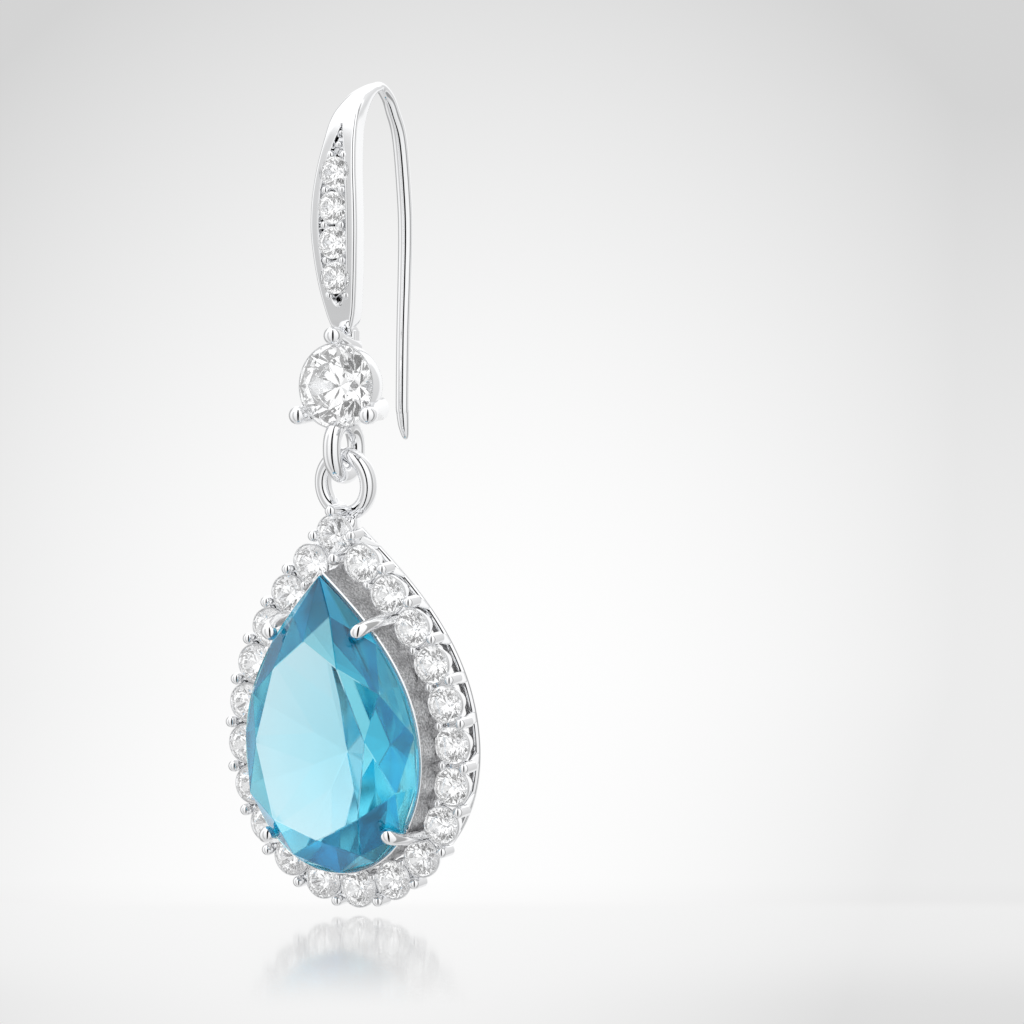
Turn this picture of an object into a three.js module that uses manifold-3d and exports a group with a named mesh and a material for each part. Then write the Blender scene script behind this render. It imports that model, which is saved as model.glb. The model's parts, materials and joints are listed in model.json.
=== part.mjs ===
import * as THREE from 'three';
import { mergeVertices } from 'three/addons/utils/BufferGeometryUtils.js';
import Module from 'manifold-3d';

const wasm = await Module();
wasm.setup();

// Drop earring in millimetres. +Z is up, the jewelled front faces -Y, and the origin is the underside of
// the ear wire at the crest of its arch, where the earring hangs in the ear.

// Ear wire
const wireDiameter = 0.76;
const crestThickness = 0.5;
const crestBack = 3.5;
const wireReach = 6.05;
const tailDrop = 17.45;
const tailFlare = 0.45;

// Leaf-shaped plate
const plateTop = 1.75;
const plateLength = 9.95;
const plateWidth = 2.77;
const plateDepth = 1.6;
const plateBow = 1.2;
const plateTaper = 0.3;

// Sunk channel in the plate and its stones
const channelTopRise = 0.1;
const channelFootInset = 0.85;
const channelWidth = 1.65;
const channelDepth = 0.42;
const hookStoneDiameter = 1.62;
const hookStoneSpace = 0.13;
const firstStoneInset = 2.5;
const lastStoneInset = 1.3;
const hookBeadDiameter = 0.45;
const hookBeadSpread = 0.48;
const topBeadSpread = 0.384;

// Three-prong basket
const neckWidth = 1.06;
const neckDepth = 0.85;
const dropStoneDiameter = 4.25;
const plateToStone = 3.1;
const basketDepth = 2.1;
const basketWall = 0.3;
const prongTurnDegrees = 126;
const prongDiameter = 0.95;
const prongDepth = 2.35;
const prongOverhang = 0.38;
const prongFootInset = 0.19;
const girdleForward = 0.8;

// Fixed loop under the basket
const loopWire = 0.9;
const loopWidth = 3.3;
const loopHeight = 3.5;
const loopSunk = 0.72;

// Ring of the pendant
const ringWidth = 3.4;
const ringHeight = 3.7;
const ringWire = 0.78;
const ringDepth = 1;
const ringGap = 0.17;
const ringBack = 1.5;
const hangTiltDegrees = 7.7;

// Neck between the ring and the halo
const pendantNeckWidth = 1.7;
const pendantNeckDepth = 0.8;
const ringToHalo = 2.33;

// Centre stone
const centreWidth = 9.9;
const centreLength = 15;
const centreCrown = 1.95;
const centrePavilion = 4.1;
const centreGirdle = 0.24;
const centreForward = 1.75;

// Halo
const haloStoneCount = 22;
const haloStoneDiameter = 1.88;
const haloGrow = 1.03;
const haloCupWall = 0.09;
const haloCupDepth = 1.15;
const haloCupBackShare = 0.78;
const haloLip = 0.06;
const outerBeadDiameter = 0.6;
const outerBeadSpread = 0.75;
const innerBeadDiameter = 0.5;
const innerBeadSpread = 0.5;
const crownBeadDiameter = 0.7;
const beadHeight = 0.34;
const beadStem = 0.8;

// Struts and back rail
const strutWidth = 0.62;
const strutDepth = 0.55;
const railBack = 2.9;
const railHeight = 0.9;
const railWall = 0.5;
const strutInset = 0.19;
const strutSunk = 0.35;

// Collet and claws
const colletWall = 0.36;
const colletBack = 2.9;
const colletRimGrow = 0.05;
const colletHaloGrow = 0.1;
const colletFootGrow = -0.2;
const clawDiameter = 0.75;
const clawReach = 1.05;

// Clearance between a stone and its metal
const stoneGap = 0.04;

// Facets of the round sections
const wireSides = 10;
const beadSides = 6;
const cupSides = 10;
const seatSides = 10;
const loopSteps = 14;
const ringSteps = 16;
const stoneSides = 8;
const pearSteps = 40;
const weldDistance = 1e-4;

// How far the sections fill out their corners
const plateSquare = 3;
const archSquare = 0.4;

// Cut of the round stones, as shares of the diameter
const roundCut = { table: 0.57, crown: 0.16, girdle: 0.04, pavilion: 0.43 };

// Colours
const silver = new THREE.MeshStandardMaterial({ color: 0xd6dade, metalness: 1, roughness: 0.14 });
const clearStone = new THREE.MeshStandardMaterial({ color: 0xf1f5f7, metalness: 0, roughness: 0.02 });
const blueStone = new THREE.MeshStandardMaterial({ color: 0x57b6dd, metalness: 0, roughness: 0.02 });

const xAxis = new THREE.Vector3(1, 0, 0);
const yAxis = new THREE.Vector3(0, 1, 0);

// A closed geometry as a solid that can be joined and cut

function solidOf(geometry) {
  const bare = geometry.clone();
  bare.deleteAttribute('normal');
  bare.deleteAttribute('uv');
  const merged = mergeVertices(bare, weldDistance);
  const corners = merged.index.array;
  const triVerts = [];
  for (let i = 0; i < corners.length; i += 3) {
    const [a, b, c] = corners.slice(i, i + 3);
    if (a !== b && b !== c && c !== a) triVerts.push(a, b, c);
  }
  const vertProperties = Float32Array.from(merged.attributes.position.array);
  const mesh = new wasm.Mesh({ numProp: 3, vertProperties, triVerts: Uint32Array.from(triVerts) });
  const solid = new wasm.Manifold(mesh);
  if (solid.volume() > 0) return solid;
  const flipped = Uint32Array.from(triVerts).reverse();
  return new wasm.Manifold(new wasm.Mesh({ numProp: 3, vertProperties, triVerts: flipped }));
}

function geometryOf(solid) {
  const { vertProperties, triVerts } = solid.getMesh();
  const geometry = new THREE.BufferGeometry();
  geometry.setAttribute('position', new THREE.BufferAttribute(vertProperties, 3));
  geometry.setIndex(new THREE.BufferAttribute(triVerts, 1));
  geometry.computeVertexNormals();
  return geometry;
}

function join(solids) {
  return solids.reduce((whole, solid) => whole.add(solid));
}

function cut(whole, cutters) {
  return cutters.reduce((rest, cutter) => rest.subtract(cutter), whole);
}

// Rings of points, one after another, skinned into a closed body

function loft(rings, closed = false) {
  const count = rings[0].length;
  const positions = rings.flat().flatMap((point) => point.toArray());
  const index = [];
  const spans = closed ? rings.length : rings.length - 1;
  for (let r = 0; r < spans; r += 1) {
    const here = r * count;
    const next = ((r + 1) % rings.length) * count;
    for (let s = 0; s < count; s += 1) {
      const t = (s + 1) % count;
      index.push(here + s, here + t, next + t, here + s, next + t, next + s);
    }
  }
  if (!closed) {
    const last = (rings.length - 1) * count;
    for (let s = 1; s < count - 1; s += 1) {
      index.push(0, s + 1, s);
      index.push(last, last + s, last + s + 1);
    }
  }
  const geometry = new THREE.BufferGeometry();
  geometry.setAttribute('position', new THREE.Float32BufferAttribute(positions, 3));
  geometry.setIndex(index);
  return solidOf(geometry);
}

// Sections carried along a flat path: side is the direction square to the path's plane, and each section is
// a list of [along side, along side x path] pairs

function sweep(path, side, sectionAt, closed = false) {
  const rings = path.map((point, i) => {
    const before = closed ? path.at(i - 1) : path[Math.max(i - 1, 0)];
    const after = path[closed ? (i + 1) % path.length : Math.min(i + 1, path.length - 1)];
    const tangent = after.clone().sub(before).normalize();
    const out = tangent.clone().cross(side);
    return sectionAt(i).map(([a, b]) => point.clone().addScaledVector(side, a).addScaledVector(out, b));
  });
  return loft(rings, closed);
}

// Section with half sizes a and b: square 0 is an ellipse, larger values fill out the corners, and taper
// narrows the side where b is positive

function roundSection(a, b, sides = wireSides, square = 0, taper = 0) {
  const power = 1 / (1 + square);
  return Array.from({ length: sides }, (_, i) => {
    const turn = (2 * Math.PI * (i + 0.5)) / sides;
    const across = Math.sign(Math.cos(turn)) * Math.abs(Math.cos(turn)) ** power;
    const through = Math.sign(Math.sin(turn)) * Math.abs(Math.sin(turn)) ** power;
    return [a * across * (1 - (taper * (1 + through)) / 2), b * through];
  });
}

// Solid of revolution about the front-to-back axis through a centre: profile pairs are [radius, back]

function turned(centre, profile, sides) {
  const points = profile.map(([radius, back]) => new THREE.Vector2(radius, back));
  const geometry = new THREE.LatheGeometry(points, sides);
  geometry.translate(centre.x, centre.y, centre.z);
  return solidOf(geometry);
}

// Bead rows: shares of its radius
const beadRows = [
  { radius: 0, back: -1 },
  { radius: 0.62, back: -0.78 },
  { radius: 0.96, back: -0.25 },
];

function bead(centre, diameter, stem) {
  const r = diameter / 2;
  const head = beadRows.map(({ radius, back }) => [radius * r, back * r]);
  return turned(centre, [...head, [r, stem], [0, stem]], beadSides);
}

// Smooth values between the rows of a table of numbers

function smoothRows(rows, stepsPerRow) {
  const last = rows.length - 1;
  const spline = (p0, p1, p2, p3, t) => {
    const a = 2 * p1;
    const b = p2 - p0;
    const c = 2 * p0 - 5 * p1 + 4 * p2 - p3;
    const d = 3 * p1 - p0 - 3 * p2 + p3;
    return (a + b * t + c * t * t + d * t * t * t) / 2;
  };
  const smooth = [];
  for (let i = 0; i <= last * stepsPerRow; i += 1) {
    const row = Math.min(Math.floor(i / stepsPerRow), last - 1);
    const t = i / stepsPerRow - row;
    const near = [row - 1, row, row + 1, row + 2].map((k) => rows[Math.min(Math.max(k, 0), last)]);
    const mixed = {};
    for (const key of Object.keys(rows[0])) mixed[key] = spline(...near.map((entry) => entry[key]), t);
    smooth.push(mixed);
  }
  return smooth;
}

// Ear wire, plate and neck: one strip from the basket up the front, over the arch and down the back.
// Plate rows are shares of the plate's length, bow, width and depth.

const plateRows = [
  { along: 1.12, bow: -0.33, width: 0, depth: 0 },
  { along: 1.0, bow: -0.25, width: 0.46, depth: 0.84 },
  { along: 0.92, bow: -0.14, width: 0.64, depth: 0.9 },
  { along: 0.78, bow: 0.07, width: 0.83, depth: 0.97 },
  { along: 0.63, bow: 0.23, width: 0.95, depth: 1 },
  { along: 0.51, bow: 0.3, width: 1, depth: 1 },
  { along: 0.37, bow: 0.27, width: 0.96, depth: 1 },
  { along: 0.23, bow: 0.14, width: 0.84, depth: 0.97 },
  { along: 0.1, bow: -0.12, width: 0.7, depth: 0.93 },
  { along: 0, bow: -0.4, width: 0.6, depth: 0.84 },
];

// Arch rows: rise as a share of the way from the plate's top to the crest, back as a share of the crest's
// distance, width as a share of the wire's diameter, thickness as a share of the crest's

const archRows = [
  { rise: 0.33, back: 0.26, width: 1.95, thickness: 2.35 },
  { rise: 0.64, back: 0.44, width: 1.65, thickness: 1.85 },
  { rise: 0.885, back: 0.69, width: 1.25, thickness: 1.25 },
  { rise: 0.97, back: 0.86, width: 1.05, thickness: 1.05 },
  { rise: 1, back: 1, width: 0.92, thickness: 1 },
];

// Tail rows: down as a share of the tail's drop, back as a share of the wire's reach, width as a share of
// the wire's diameter

const tailRows = [
  { down: 0.0115, back: 0.702, width: 0.88 },
  { down: 0.0516, back: 0.785, width: 0.95 },
  { down: 0.132, back: 0.904, width: 1 },
  { down: 0.304, back: 0.983, width: 1 },
  { down: 0.415, back: 1, width: 0.98 },
  { down: 0.544, back: 0.985, width: 0.94 },
  { down: 0.69, back: 0.962, width: 0.9 },
  { down: 0.888, back: 0.934, width: 0.88 },
];

// The last stretch of the tail flares out and rounds off
const tipRows = [
  { drop: 0.3, flare: 0.3, width: 0.86 },
  { drop: 0.65, flare: 0.66, width: 0.76 },
  { drop: 0.88, flare: 0.9, width: 0.56 },
  { drop: 1, flare: 1, width: 0.26 },
];

const wireRadius = wireDiameter / 2;
const crestHeight = crestThickness / 2;
const tailStart = tailRows.at(-1);

const neckRow = {
  back: plateRows[0].bow * -plateBow,
  down: plateTop + plateLength * plateRows[0].along,
  half: neckWidth / 2,
  deep: neckDepth / 2,
  square: plateSquare,
  taper: 0,
};
const stripRows = [
  neckRow,
  ...plateRows.slice(1).map((row) => ({
    back: -row.bow * plateBow,
    down: plateTop + row.along * plateLength,
    half: (row.width * plateWidth) / 2,
    deep: (row.depth * plateDepth) / 2,
    square: plateSquare,
    taper: plateTaper,
  })),
  ...archRows.map((row) => ({
    back: row.back * crestBack,
    down: plateTop - row.rise * (plateTop + crestHeight),
    half: row.width * wireRadius,
    deep: row.thickness * crestHeight,
    square: archSquare * (1 - row.rise),
    taper: plateTaper * (1 - row.rise),
  })),
  ...tailRows.map((row) => ({
    back: row.back * wireReach,
    down: row.down * tailDrop,
    half: row.width * wireRadius,
    deep: row.width * wireRadius,
    square: 0,
    taper: 0,
  })),
  ...tipRows.map((row) => ({
    back: tailStart.back * wireReach + row.flare * tailFlare,
    down: tailDrop * (tailStart.down + row.drop * (1 - tailStart.down)),
    half: row.width * wireRadius,
    deep: row.width * wireRadius,
    square: 0,
    taper: 0,
  })),
];
const strip = smoothRows(stripRows, 2);

// Where the plate's front face lies at a height below the origin

function plateAt(down) {
  const after = strip.findIndex((row) => row.down <= down);
  const upper = strip[after];
  const lower = strip[after - 1];
  const t = (down - upper.down) / (lower.down - upper.down);
  const mix = (key) => upper[key] + (lower[key] - upper[key]) * t;
  return { face: mix('back') - mix('deep'), half: mix('half') };
}

function stripSolid() {
  const path = strip.map((row) => new THREE.Vector3(0, row.back, -row.down));
  return sweep(path, xAxis, (i) => {
    const { half, deep, square, taper } = strip[i];
    return roundSection(half, deep, wireSides, square, taper);
  });
}

// The channel and the stones in it, as distances below the origin
const channelTop = plateTop - channelTopRise;
const channelFoot = plateTop + plateLength - channelFootInset;
const hookStonePitch = hookStoneDiameter + hookStoneSpace;
const firstHookStone = channelTop + firstStoneInset;
const stoneRun = channelFoot - lastStoneInset - firstHookStone;
const hookStoneCount = Math.floor(stoneRun / hookStonePitch) + 1;

// Channel outline: shares of its length from the pointed top, and of its width
const channelRows = [
  { along: 0, width: 0.06 },
  { along: 0.12, width: 0.42 },
  { along: 0.28, width: 0.8 },
  { along: 0.45, width: 0.98 },
  { along: 0.6, width: 1 },
  { along: 0.76, width: 0.9 },
  { along: 0.9, width: 0.6 },
  { along: 0.97, width: 0.34 },
  { along: 1, width: 0.08 },
];

function channelCutter() {
  const rings = channelRows.map(({ along, width }) => {
    const down = channelTop + along * (channelFoot - channelTop);
    const { face } = plateAt(down);
    const half = (width * channelWidth) / 2;
    const front = face - plateDepth / 2;
    const floor = face + channelDepth;
    return [
      new THREE.Vector3(-half, front, -down),
      new THREE.Vector3(half, front, -down),
      new THREE.Vector3(half, floor, -down),
      new THREE.Vector3(-half, floor, -down),
    ];
  });
  return loft(rings);
}

// Round cut stones: the table faces the front, and the centre is in the girdle's front edge

function roundStoneProfile(diameter, grow = 0) {
  const radius = diameter / 2 + grow;
  const table = (roundCut.table * diameter) / 2;
  const crown = roundCut.crown * diameter + grow;
  const girdle = roundCut.girdle * diameter;
  const culet = girdle + roundCut.pavilion * diameter + grow;
  return [[0, -crown], [table, -crown], [radius, 0], [radius, girdle], [0, culet]];
}

function roundStoneSolid(centre, diameter) {
  return turned(centre, roundStoneProfile(diameter), stoneSides);
}

// The room that a round stone takes in its metal, open to the front

function seatCutter(centre, diameter, sides = seatSides) {
  const [, , rim, girdle, culet] = roundStoneProfile(diameter, stoneGap);
  const widening = 1 / Math.cos(Math.PI / sides);
  const crown = roundCut.crown * diameter;
  const profile = [
    [0, -crown - diameter],
    [rim[0] * widening - crown, -crown - diameter],
    [rim[0] * widening - crown, -crown],
    [rim[0] * widening, -stoneGap],
    [girdle[0] * widening, girdle[1] + stoneGap],
    [0, culet[1] + stoneGap],
  ];
  return turned(centre, profile, sides);
}

const hookStonePlaces = Array.from({ length: hookStoneCount }, (_, i) => {
  const down = firstHookStone + i * hookStonePitch;
  return new THREE.Vector3(0, plateAt(down).face, -down);
});

// Beads of the plate, as shares: up from the first stone in pitches, size and sinking in bead diameters
const pairBead = { size: 1, sunk: 0.3 };
const tipBead = { up: 0.8, size: 0.8, sunk: 0.35 };

function hookBead(x, down, { size, sunk }) {
  const centre = new THREE.Vector3(x, plateAt(down).face + hookBeadDiameter * sunk, -down);
  return bead(centre, hookBeadDiameter * size, channelDepth);
}

function hookBeads() {
  const beads = [hookBead(0, firstHookStone - hookStonePitch * tipBead.up, tipBead)];
  for (let i = 0; i <= hookStoneCount; i += 1) {
    const down = firstHookStone + (i - 0.5) * hookStonePitch;
    const spread = i === 0 ? topBeadSpread : hookBeadSpread;
    for (const side of [-1, 1]) beads.push(hookBead(side * spread, down, pairBead));
  }
  return beads;
}

// Basket: a cone behind the round stone, three round-tipped prongs, and the fixed loop

const dropStoneDown = plateTop + plateLength + plateToStone;
const basketCentre = new THREE.Vector3(0, -girdleForward, -dropStoneDown);

// Bowl rows: shares of the stone's radius and of the basket's depth
const bowlRows = [
  { radius: 0, back: 0.14 },
  { radius: 0.95, back: 0.14 },
  { radius: 0.93, back: 0.45 },
  { radius: 0.83, back: 0.72 },
  { radius: 0.52, back: 1 },
  { radius: 0, back: 1 },
];

function basketBowl() {
  const stoneRadius = dropStoneDiameter / 2;
  const depth = Math.max(basketDepth, dropStoneDiameter * (roundCut.girdle + roundCut.pavilion) + basketWall);
  const profile = bowlRows.map(({ radius, back }) => [radius * stoneRadius, back * depth]);
  return turned(basketCentre, profile, cupSides * 2);
}

// Prong rows: out is the share of the way from the foot to the ball, back and size are shares of the ball's
// radius
const prongRows = [
  { out: 0.5, back: 0.6, size: 1.12 },
  { out: 1, back: -0.6, size: 1 },
  { out: 1, back: -1.1, size: 0.87 },
  { out: 1, back: -1.47, size: 0.5 },
  { out: 1, back: -1.6, size: 0.12 },
];
const prongFootSize = 1.3;

function prong(turn) {
  const r = prongDiameter / 2;
  const tipReach = dropStoneDiameter / 2 + prongOverhang;
  const footReach = dropStoneDiameter / 2 - prongFootInset;
  const tipBack = prongRows.at(-1).back * r;
  const foot = { reach: footReach, back: tipBack + prongDepth, size: prongFootSize };
  const rows = prongRows.map(({ out, back, size }) => (
    { reach: footReach + out * (tipReach - footReach), back: back * r, size }
  ));
  const rings = [foot, ...rows].map(({ reach, back, size }) => {
    const x = basketCentre.x + reach * Math.sin(turn);
    const z = basketCentre.z + reach * Math.cos(turn);
    return roundSection(r * size, r * size).map(
      ([a, b]) => new THREE.Vector3(x + b, basketCentre.y + back, z + a),
    );
  });
  return loft(rings);
}

// The loop's centre line, a stadium in the plane that holds the ear wire

const loopRadius = (loopWidth - loopWire) / 2;
const loopStraight = loopHeight - loopWidth;
const basketFoot = basketCentre.z - dropStoneDiameter / 2;
const loopOuterTop = basketFoot + loopSunk;
const loopLowCentre = loopOuterTop - loopWire / 2 - loopRadius - loopStraight;
const loopFloor = loopLowCentre - loopRadius + loopWire / 2;

function fixedLoop() {
  const half = loopSteps / 2;
  const arc = (start, centre) => Array.from({ length: half + 1 }, (_, i) => {
    const turn = start + (Math.PI * i) / half;
    return new THREE.Vector3(0, loopRadius * Math.cos(turn), centre + loopRadius * Math.sin(turn));
  });
  const path = [...arc(0, loopLowCentre + loopStraight), ...arc(Math.PI, loopLowCentre)];
  const section = roundSection(loopWire / 2, loopWire / 2, stoneSides);
  return sweep(path, xAxis, () => section, true);
}

function earHookSolid() {
  const body = cut(stripSolid(), [channelCutter()]);
  const lowTurn = THREE.MathUtils.degToRad(prongTurnDegrees);
  const prongs = [0, lowTurn, -lowTurn].map(prong);
  const whole = join([body, ...hookBeads(), basketBowl(), ...prongs, fixedLoop()]);
  return cut(whole, [
    ...hookStonePlaces.map((place) => seatCutter(place, hookStoneDiameter)),
    seatCutter(basketCentre, dropStoneDiameter, seatSides * 2),
  ]);
}

// Pendant: everything below is in its own frame, with the swing axis at the origin and no tilt

const ringHalfWidth = (ringWidth - ringWire) / 2;
const ringHalfHeight = (ringHeight - ringWire) / 2;
const haloTop = -(ringHalfHeight + ringToHalo);
const haloPlane = -ringBack;

// Pear outline: the tip rises faster than the sides as it grows, and the rest are shares of its length and
// half width
const tipRise = 1.8;
const widestShare = 0.607;
const shoulderShare = 0.333;
const tipHandleShare = 0.16;
const tipHandleWidth = 0.485;
const stoneTip = haloTop - haloGrow * tipRise;

// The outline grown outwards from the centre stone's, evenly stepped from the tip down one side and up the
// other: points hold x and the depth below the stone's tip

function pearLine(grow, steps, offset = 0) {
  const half = centreWidth / 2 + grow;
  const top = -grow * tipRise;
  const length = centreLength + grow - top;
  const widest = top + widestShare * length;
  const side = new THREE.CubicBezierCurve(
    new THREE.Vector2(0, top),
    new THREE.Vector2(tipHandleWidth * half, top + tipHandleShare * length),
    new THREE.Vector2(half, top + shoulderShare * length),
    new THREE.Vector2(half, widest),
  );
  const bowl = new THREE.EllipseCurve(0, widest, half, top + length - widest, 0, Math.PI / 2);
  const line = new THREE.CurvePath();
  line.add(side);
  line.add(bowl);
  const count = offset ? steps : steps + 1;
  const right = Array.from({ length: count }, (_, i) => line.getPointAt((i + offset) / steps));
  const mirrored = offset ? right : right.slice(1, steps);
  return [...right, ...mirrored.map(({ x, y }) => new THREE.Vector2(-x, y)).reverse()];
}

// A place in the pendant's frame from x, the depth below the centre stone's tip, and the distance behind
// the halo's plane

function placed({ x, y }, back) {
  return new THREE.Vector3(x, haloPlane + back, stoneTip - y);
}

function outwardAt(line, i) {
  const before = line.at(i - 1);
  const after = line[(i + 1) % line.length];
  return new THREE.Vector2(after.y - before.y, before.x - after.x).normalize();
}

const haloLine = pearLine(haloGrow, haloStoneCount / 2);
const haloGapLine = pearLine(haloGrow, haloStoneCount / 2, 0.5);

// A closed band that follows the pear outline: section pairs are [growth, back]

function pearBand(section, steps = pearSteps) {
  const lines = section.map(([grow, back]) => pearLine(grow, steps / 2).map((point) => placed(point, back)));
  const rings = lines[0].map((_, i) => lines.map((line) => line[i]));
  return loft(rings, true);
}

function haloCups() {
  const radius = haloStoneDiameter / 2 + haloCupWall;
  const profile = [
    [0, haloLip],
    [radius, haloLip],
    [radius, haloCupDepth / 2],
    [radius * haloCupBackShare, haloCupDepth],
    [0, haloCupDepth],
  ];
  return haloLine.map((point) => turned(placed(point, 0), profile, cupSides));
}

// The beads above and below the top stone lie this share of their diameter outside it
const tipBeadLap = 0.4;

function haloBeads() {
  const beads = [];
  haloGapLine.forEach((point, i) => {
    const outward = outwardAt(haloGapLine, i);
    const outer = point.clone().addScaledVector(outward, outerBeadSpread);
    beads.push(bead(placed(outer, -beadHeight / 2), outerBeadDiameter, beadStem));
    if (i === 0 || i === haloGapLine.length - 1) return;
    const inner = point.clone().addScaledVector(outward, -innerBeadSpread);
    beads.push(bead(placed(inner, -beadHeight / 2), innerBeadDiameter, beadStem));
  });
  const middle = haloLine[0].y;
  const lapped = (diameter) => haloStoneDiameter / 2 + diameter * tipBeadLap;
  const above = new THREE.Vector2(0, middle - lapped(outerBeadDiameter));
  const below = new THREE.Vector2(0, middle + lapped(crownBeadDiameter));
  beads.push(bead(placed(above, -beadHeight / 2), outerBeadDiameter, haloCupDepth));
  beads.push(bead(placed(below, -beadHeight / 2), crownBeadDiameter, haloCupDepth));
  return beads;
}

// A straight flat bar from front to back, with its width along a direction square to it

function bar(from, to, across) {
  const out = to.clone().sub(from).cross(across).normalize();
  const section = roundSection(strutWidth / 2, strutDepth / 2, beadSides, archSquare);
  const rings = [from, to].map((centre) => section.map(
    ([a, b]) => centre.clone().addScaledVector(across, a).addScaledVector(out, b),
  ));
  return loft(rings);
}

function struts() {
  return haloGapLine.map((point, i) => {
    const outward = outwardAt(haloGapLine, i);
    const outer = point.clone().addScaledVector(outward, outerBeadSpread - strutInset);
    const inner = point.clone().addScaledVector(outward, -strutSunk);
    const across = new THREE.Vector3(outward.y, 0, outward.x);
    return bar(placed(outer, haloCupDepth / 2), placed(inner, railBack), across);
  });
}

function backRail() {
  const outside = haloGrow;
  const inside = haloGrow - railWall;
  return pearBand([
    [outside, railBack - railHeight / 2],
    [inside, railBack - railHeight / 2],
    [inside, railBack + railHeight / 2],
    [outside, railBack + railHeight / 2],
  ]);
}

// Collet: a wall from under the centre stone's girdle back to the open foot, soldered to the halo's cups

function collet() {
  const rimBack = centreGirdle + stoneGap - centreForward;
  return pearBand([
    [colletRimGrow, rimBack],
    [colletRimGrow - colletWall, rimBack],
    [colletFootGrow - colletWall, colletBack],
    [colletFootGrow, colletBack],
    [colletHaloGrow, haloCupDepth / 2],
  ]);
}

// Claws rise between two halo stones and bend over the centre stone's edge. Their places are shares of the
// way from the tip to the bottom. Rows: out as a share of the halo's growth, forward as a share of the
// claw's whole height, and size as a share of its diameter.

const clawShares = [0.23, 0.77];
const clawRows = [
  { out: 0.485, forward: -0.32, size: 0.9 },
  { out: 0.447, forward: 0.15, size: 0.9 },
  { out: 0.33, forward: 0.55, size: 0.9 },
  { out: 0.12, forward: 0.83, size: 0.92 },
  { out: -0.12, forward: 0.95, size: 1 },
  { out: -0.33, forward: 0.93, size: 0.95 },
  { out: -0.45, forward: 0.88, size: 0.45 },
];

function claw(share, mirror) {
  const index = Math.floor((share * haloStoneCount) / 2);
  const gap = haloGapLine[index].clone();
  const outward = outwardAt(haloGapLine, index);
  gap.x *= mirror;
  outward.x *= mirror;
  const height = centreForward + clawReach;
  const path = clawRows.map(({ out, forward }) => (
    placed(gap.clone().addScaledVector(outward, (out - 1) * haloGrow), -forward * height)
  ));
  const across = new THREE.Vector3(outward.y, 0, outward.x);
  return sweep(path, across, (i) => {
    const r = (clawRows[i].size * clawDiameter) / 2;
    return roundSection(r, r, stoneSides);
  });
}

function topRing() {
  const path = Array.from({ length: ringSteps }, (_, i) => {
    const turn = (2 * Math.PI * (i + 0.5)) / ringSteps;
    return new THREE.Vector3(ringHalfWidth * Math.sin(turn), 0, ringHalfHeight * (Math.cos(turn) - 1));
  });
  const section = roundSection(ringDepth / 2, ringWire / 2, stoneSides);
  return sweep(path, yAxis, () => section, true);
}

// Neck rows: fall as a share of the way from the ring's foot to the halo's top, forward as a share of the
// ring's distance behind the halo, and shares of the neck's width and depth
const neckRows = [
  { fall: -0.07, forward: 0, width: 0.62, depth: 0.8 },
  { fall: 0.34, forward: 0.1, width: 0.85, depth: 0.95 },
  { fall: 0.5, forward: 0.4, width: 1, depth: 1 },
  { fall: 0.835, forward: 0.6, width: 0.95, depth: 0.9 },
];

function pendantNeck() {
  const ringFoot = -2 * ringHalfHeight;
  const path = neckRows.map(({ fall, forward }) => (
    new THREE.Vector3(0, -forward * ringBack, ringFoot + fall * (haloTop - ringFoot))
  ));
  return sweep(path, xAxis, (i) => roundSection(
    (neckRows[i].width * pendantNeckWidth) / 2,
    (neckRows[i].depth * pendantNeckDepth) / 2,
    stoneSides,
    archSquare,
  ));
}

// Centre stone: a pear with eight main facets and a table. Each corner is a point on the outline, and the
// facet under it leans in from the outline's tangent there, so that neighbouring facets meet in true lines.

const mainShares = [0, 0.235, 0.5, 0.77, 1];
const tableRows = [
  { across: 0, down: 0.203 },
  { across: 0.37, down: 0.293 },
  { across: 0.636, down: 0.54 },
  { across: 0.495, down: 0.8 },
  { across: 0, down: 0.87 },
];
const starHeight = 0.55;
const tipStar = { across: 0.21, height: 0.5 };
const keelHeight = 0.7;
const outlineSteps = 24;

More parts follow.
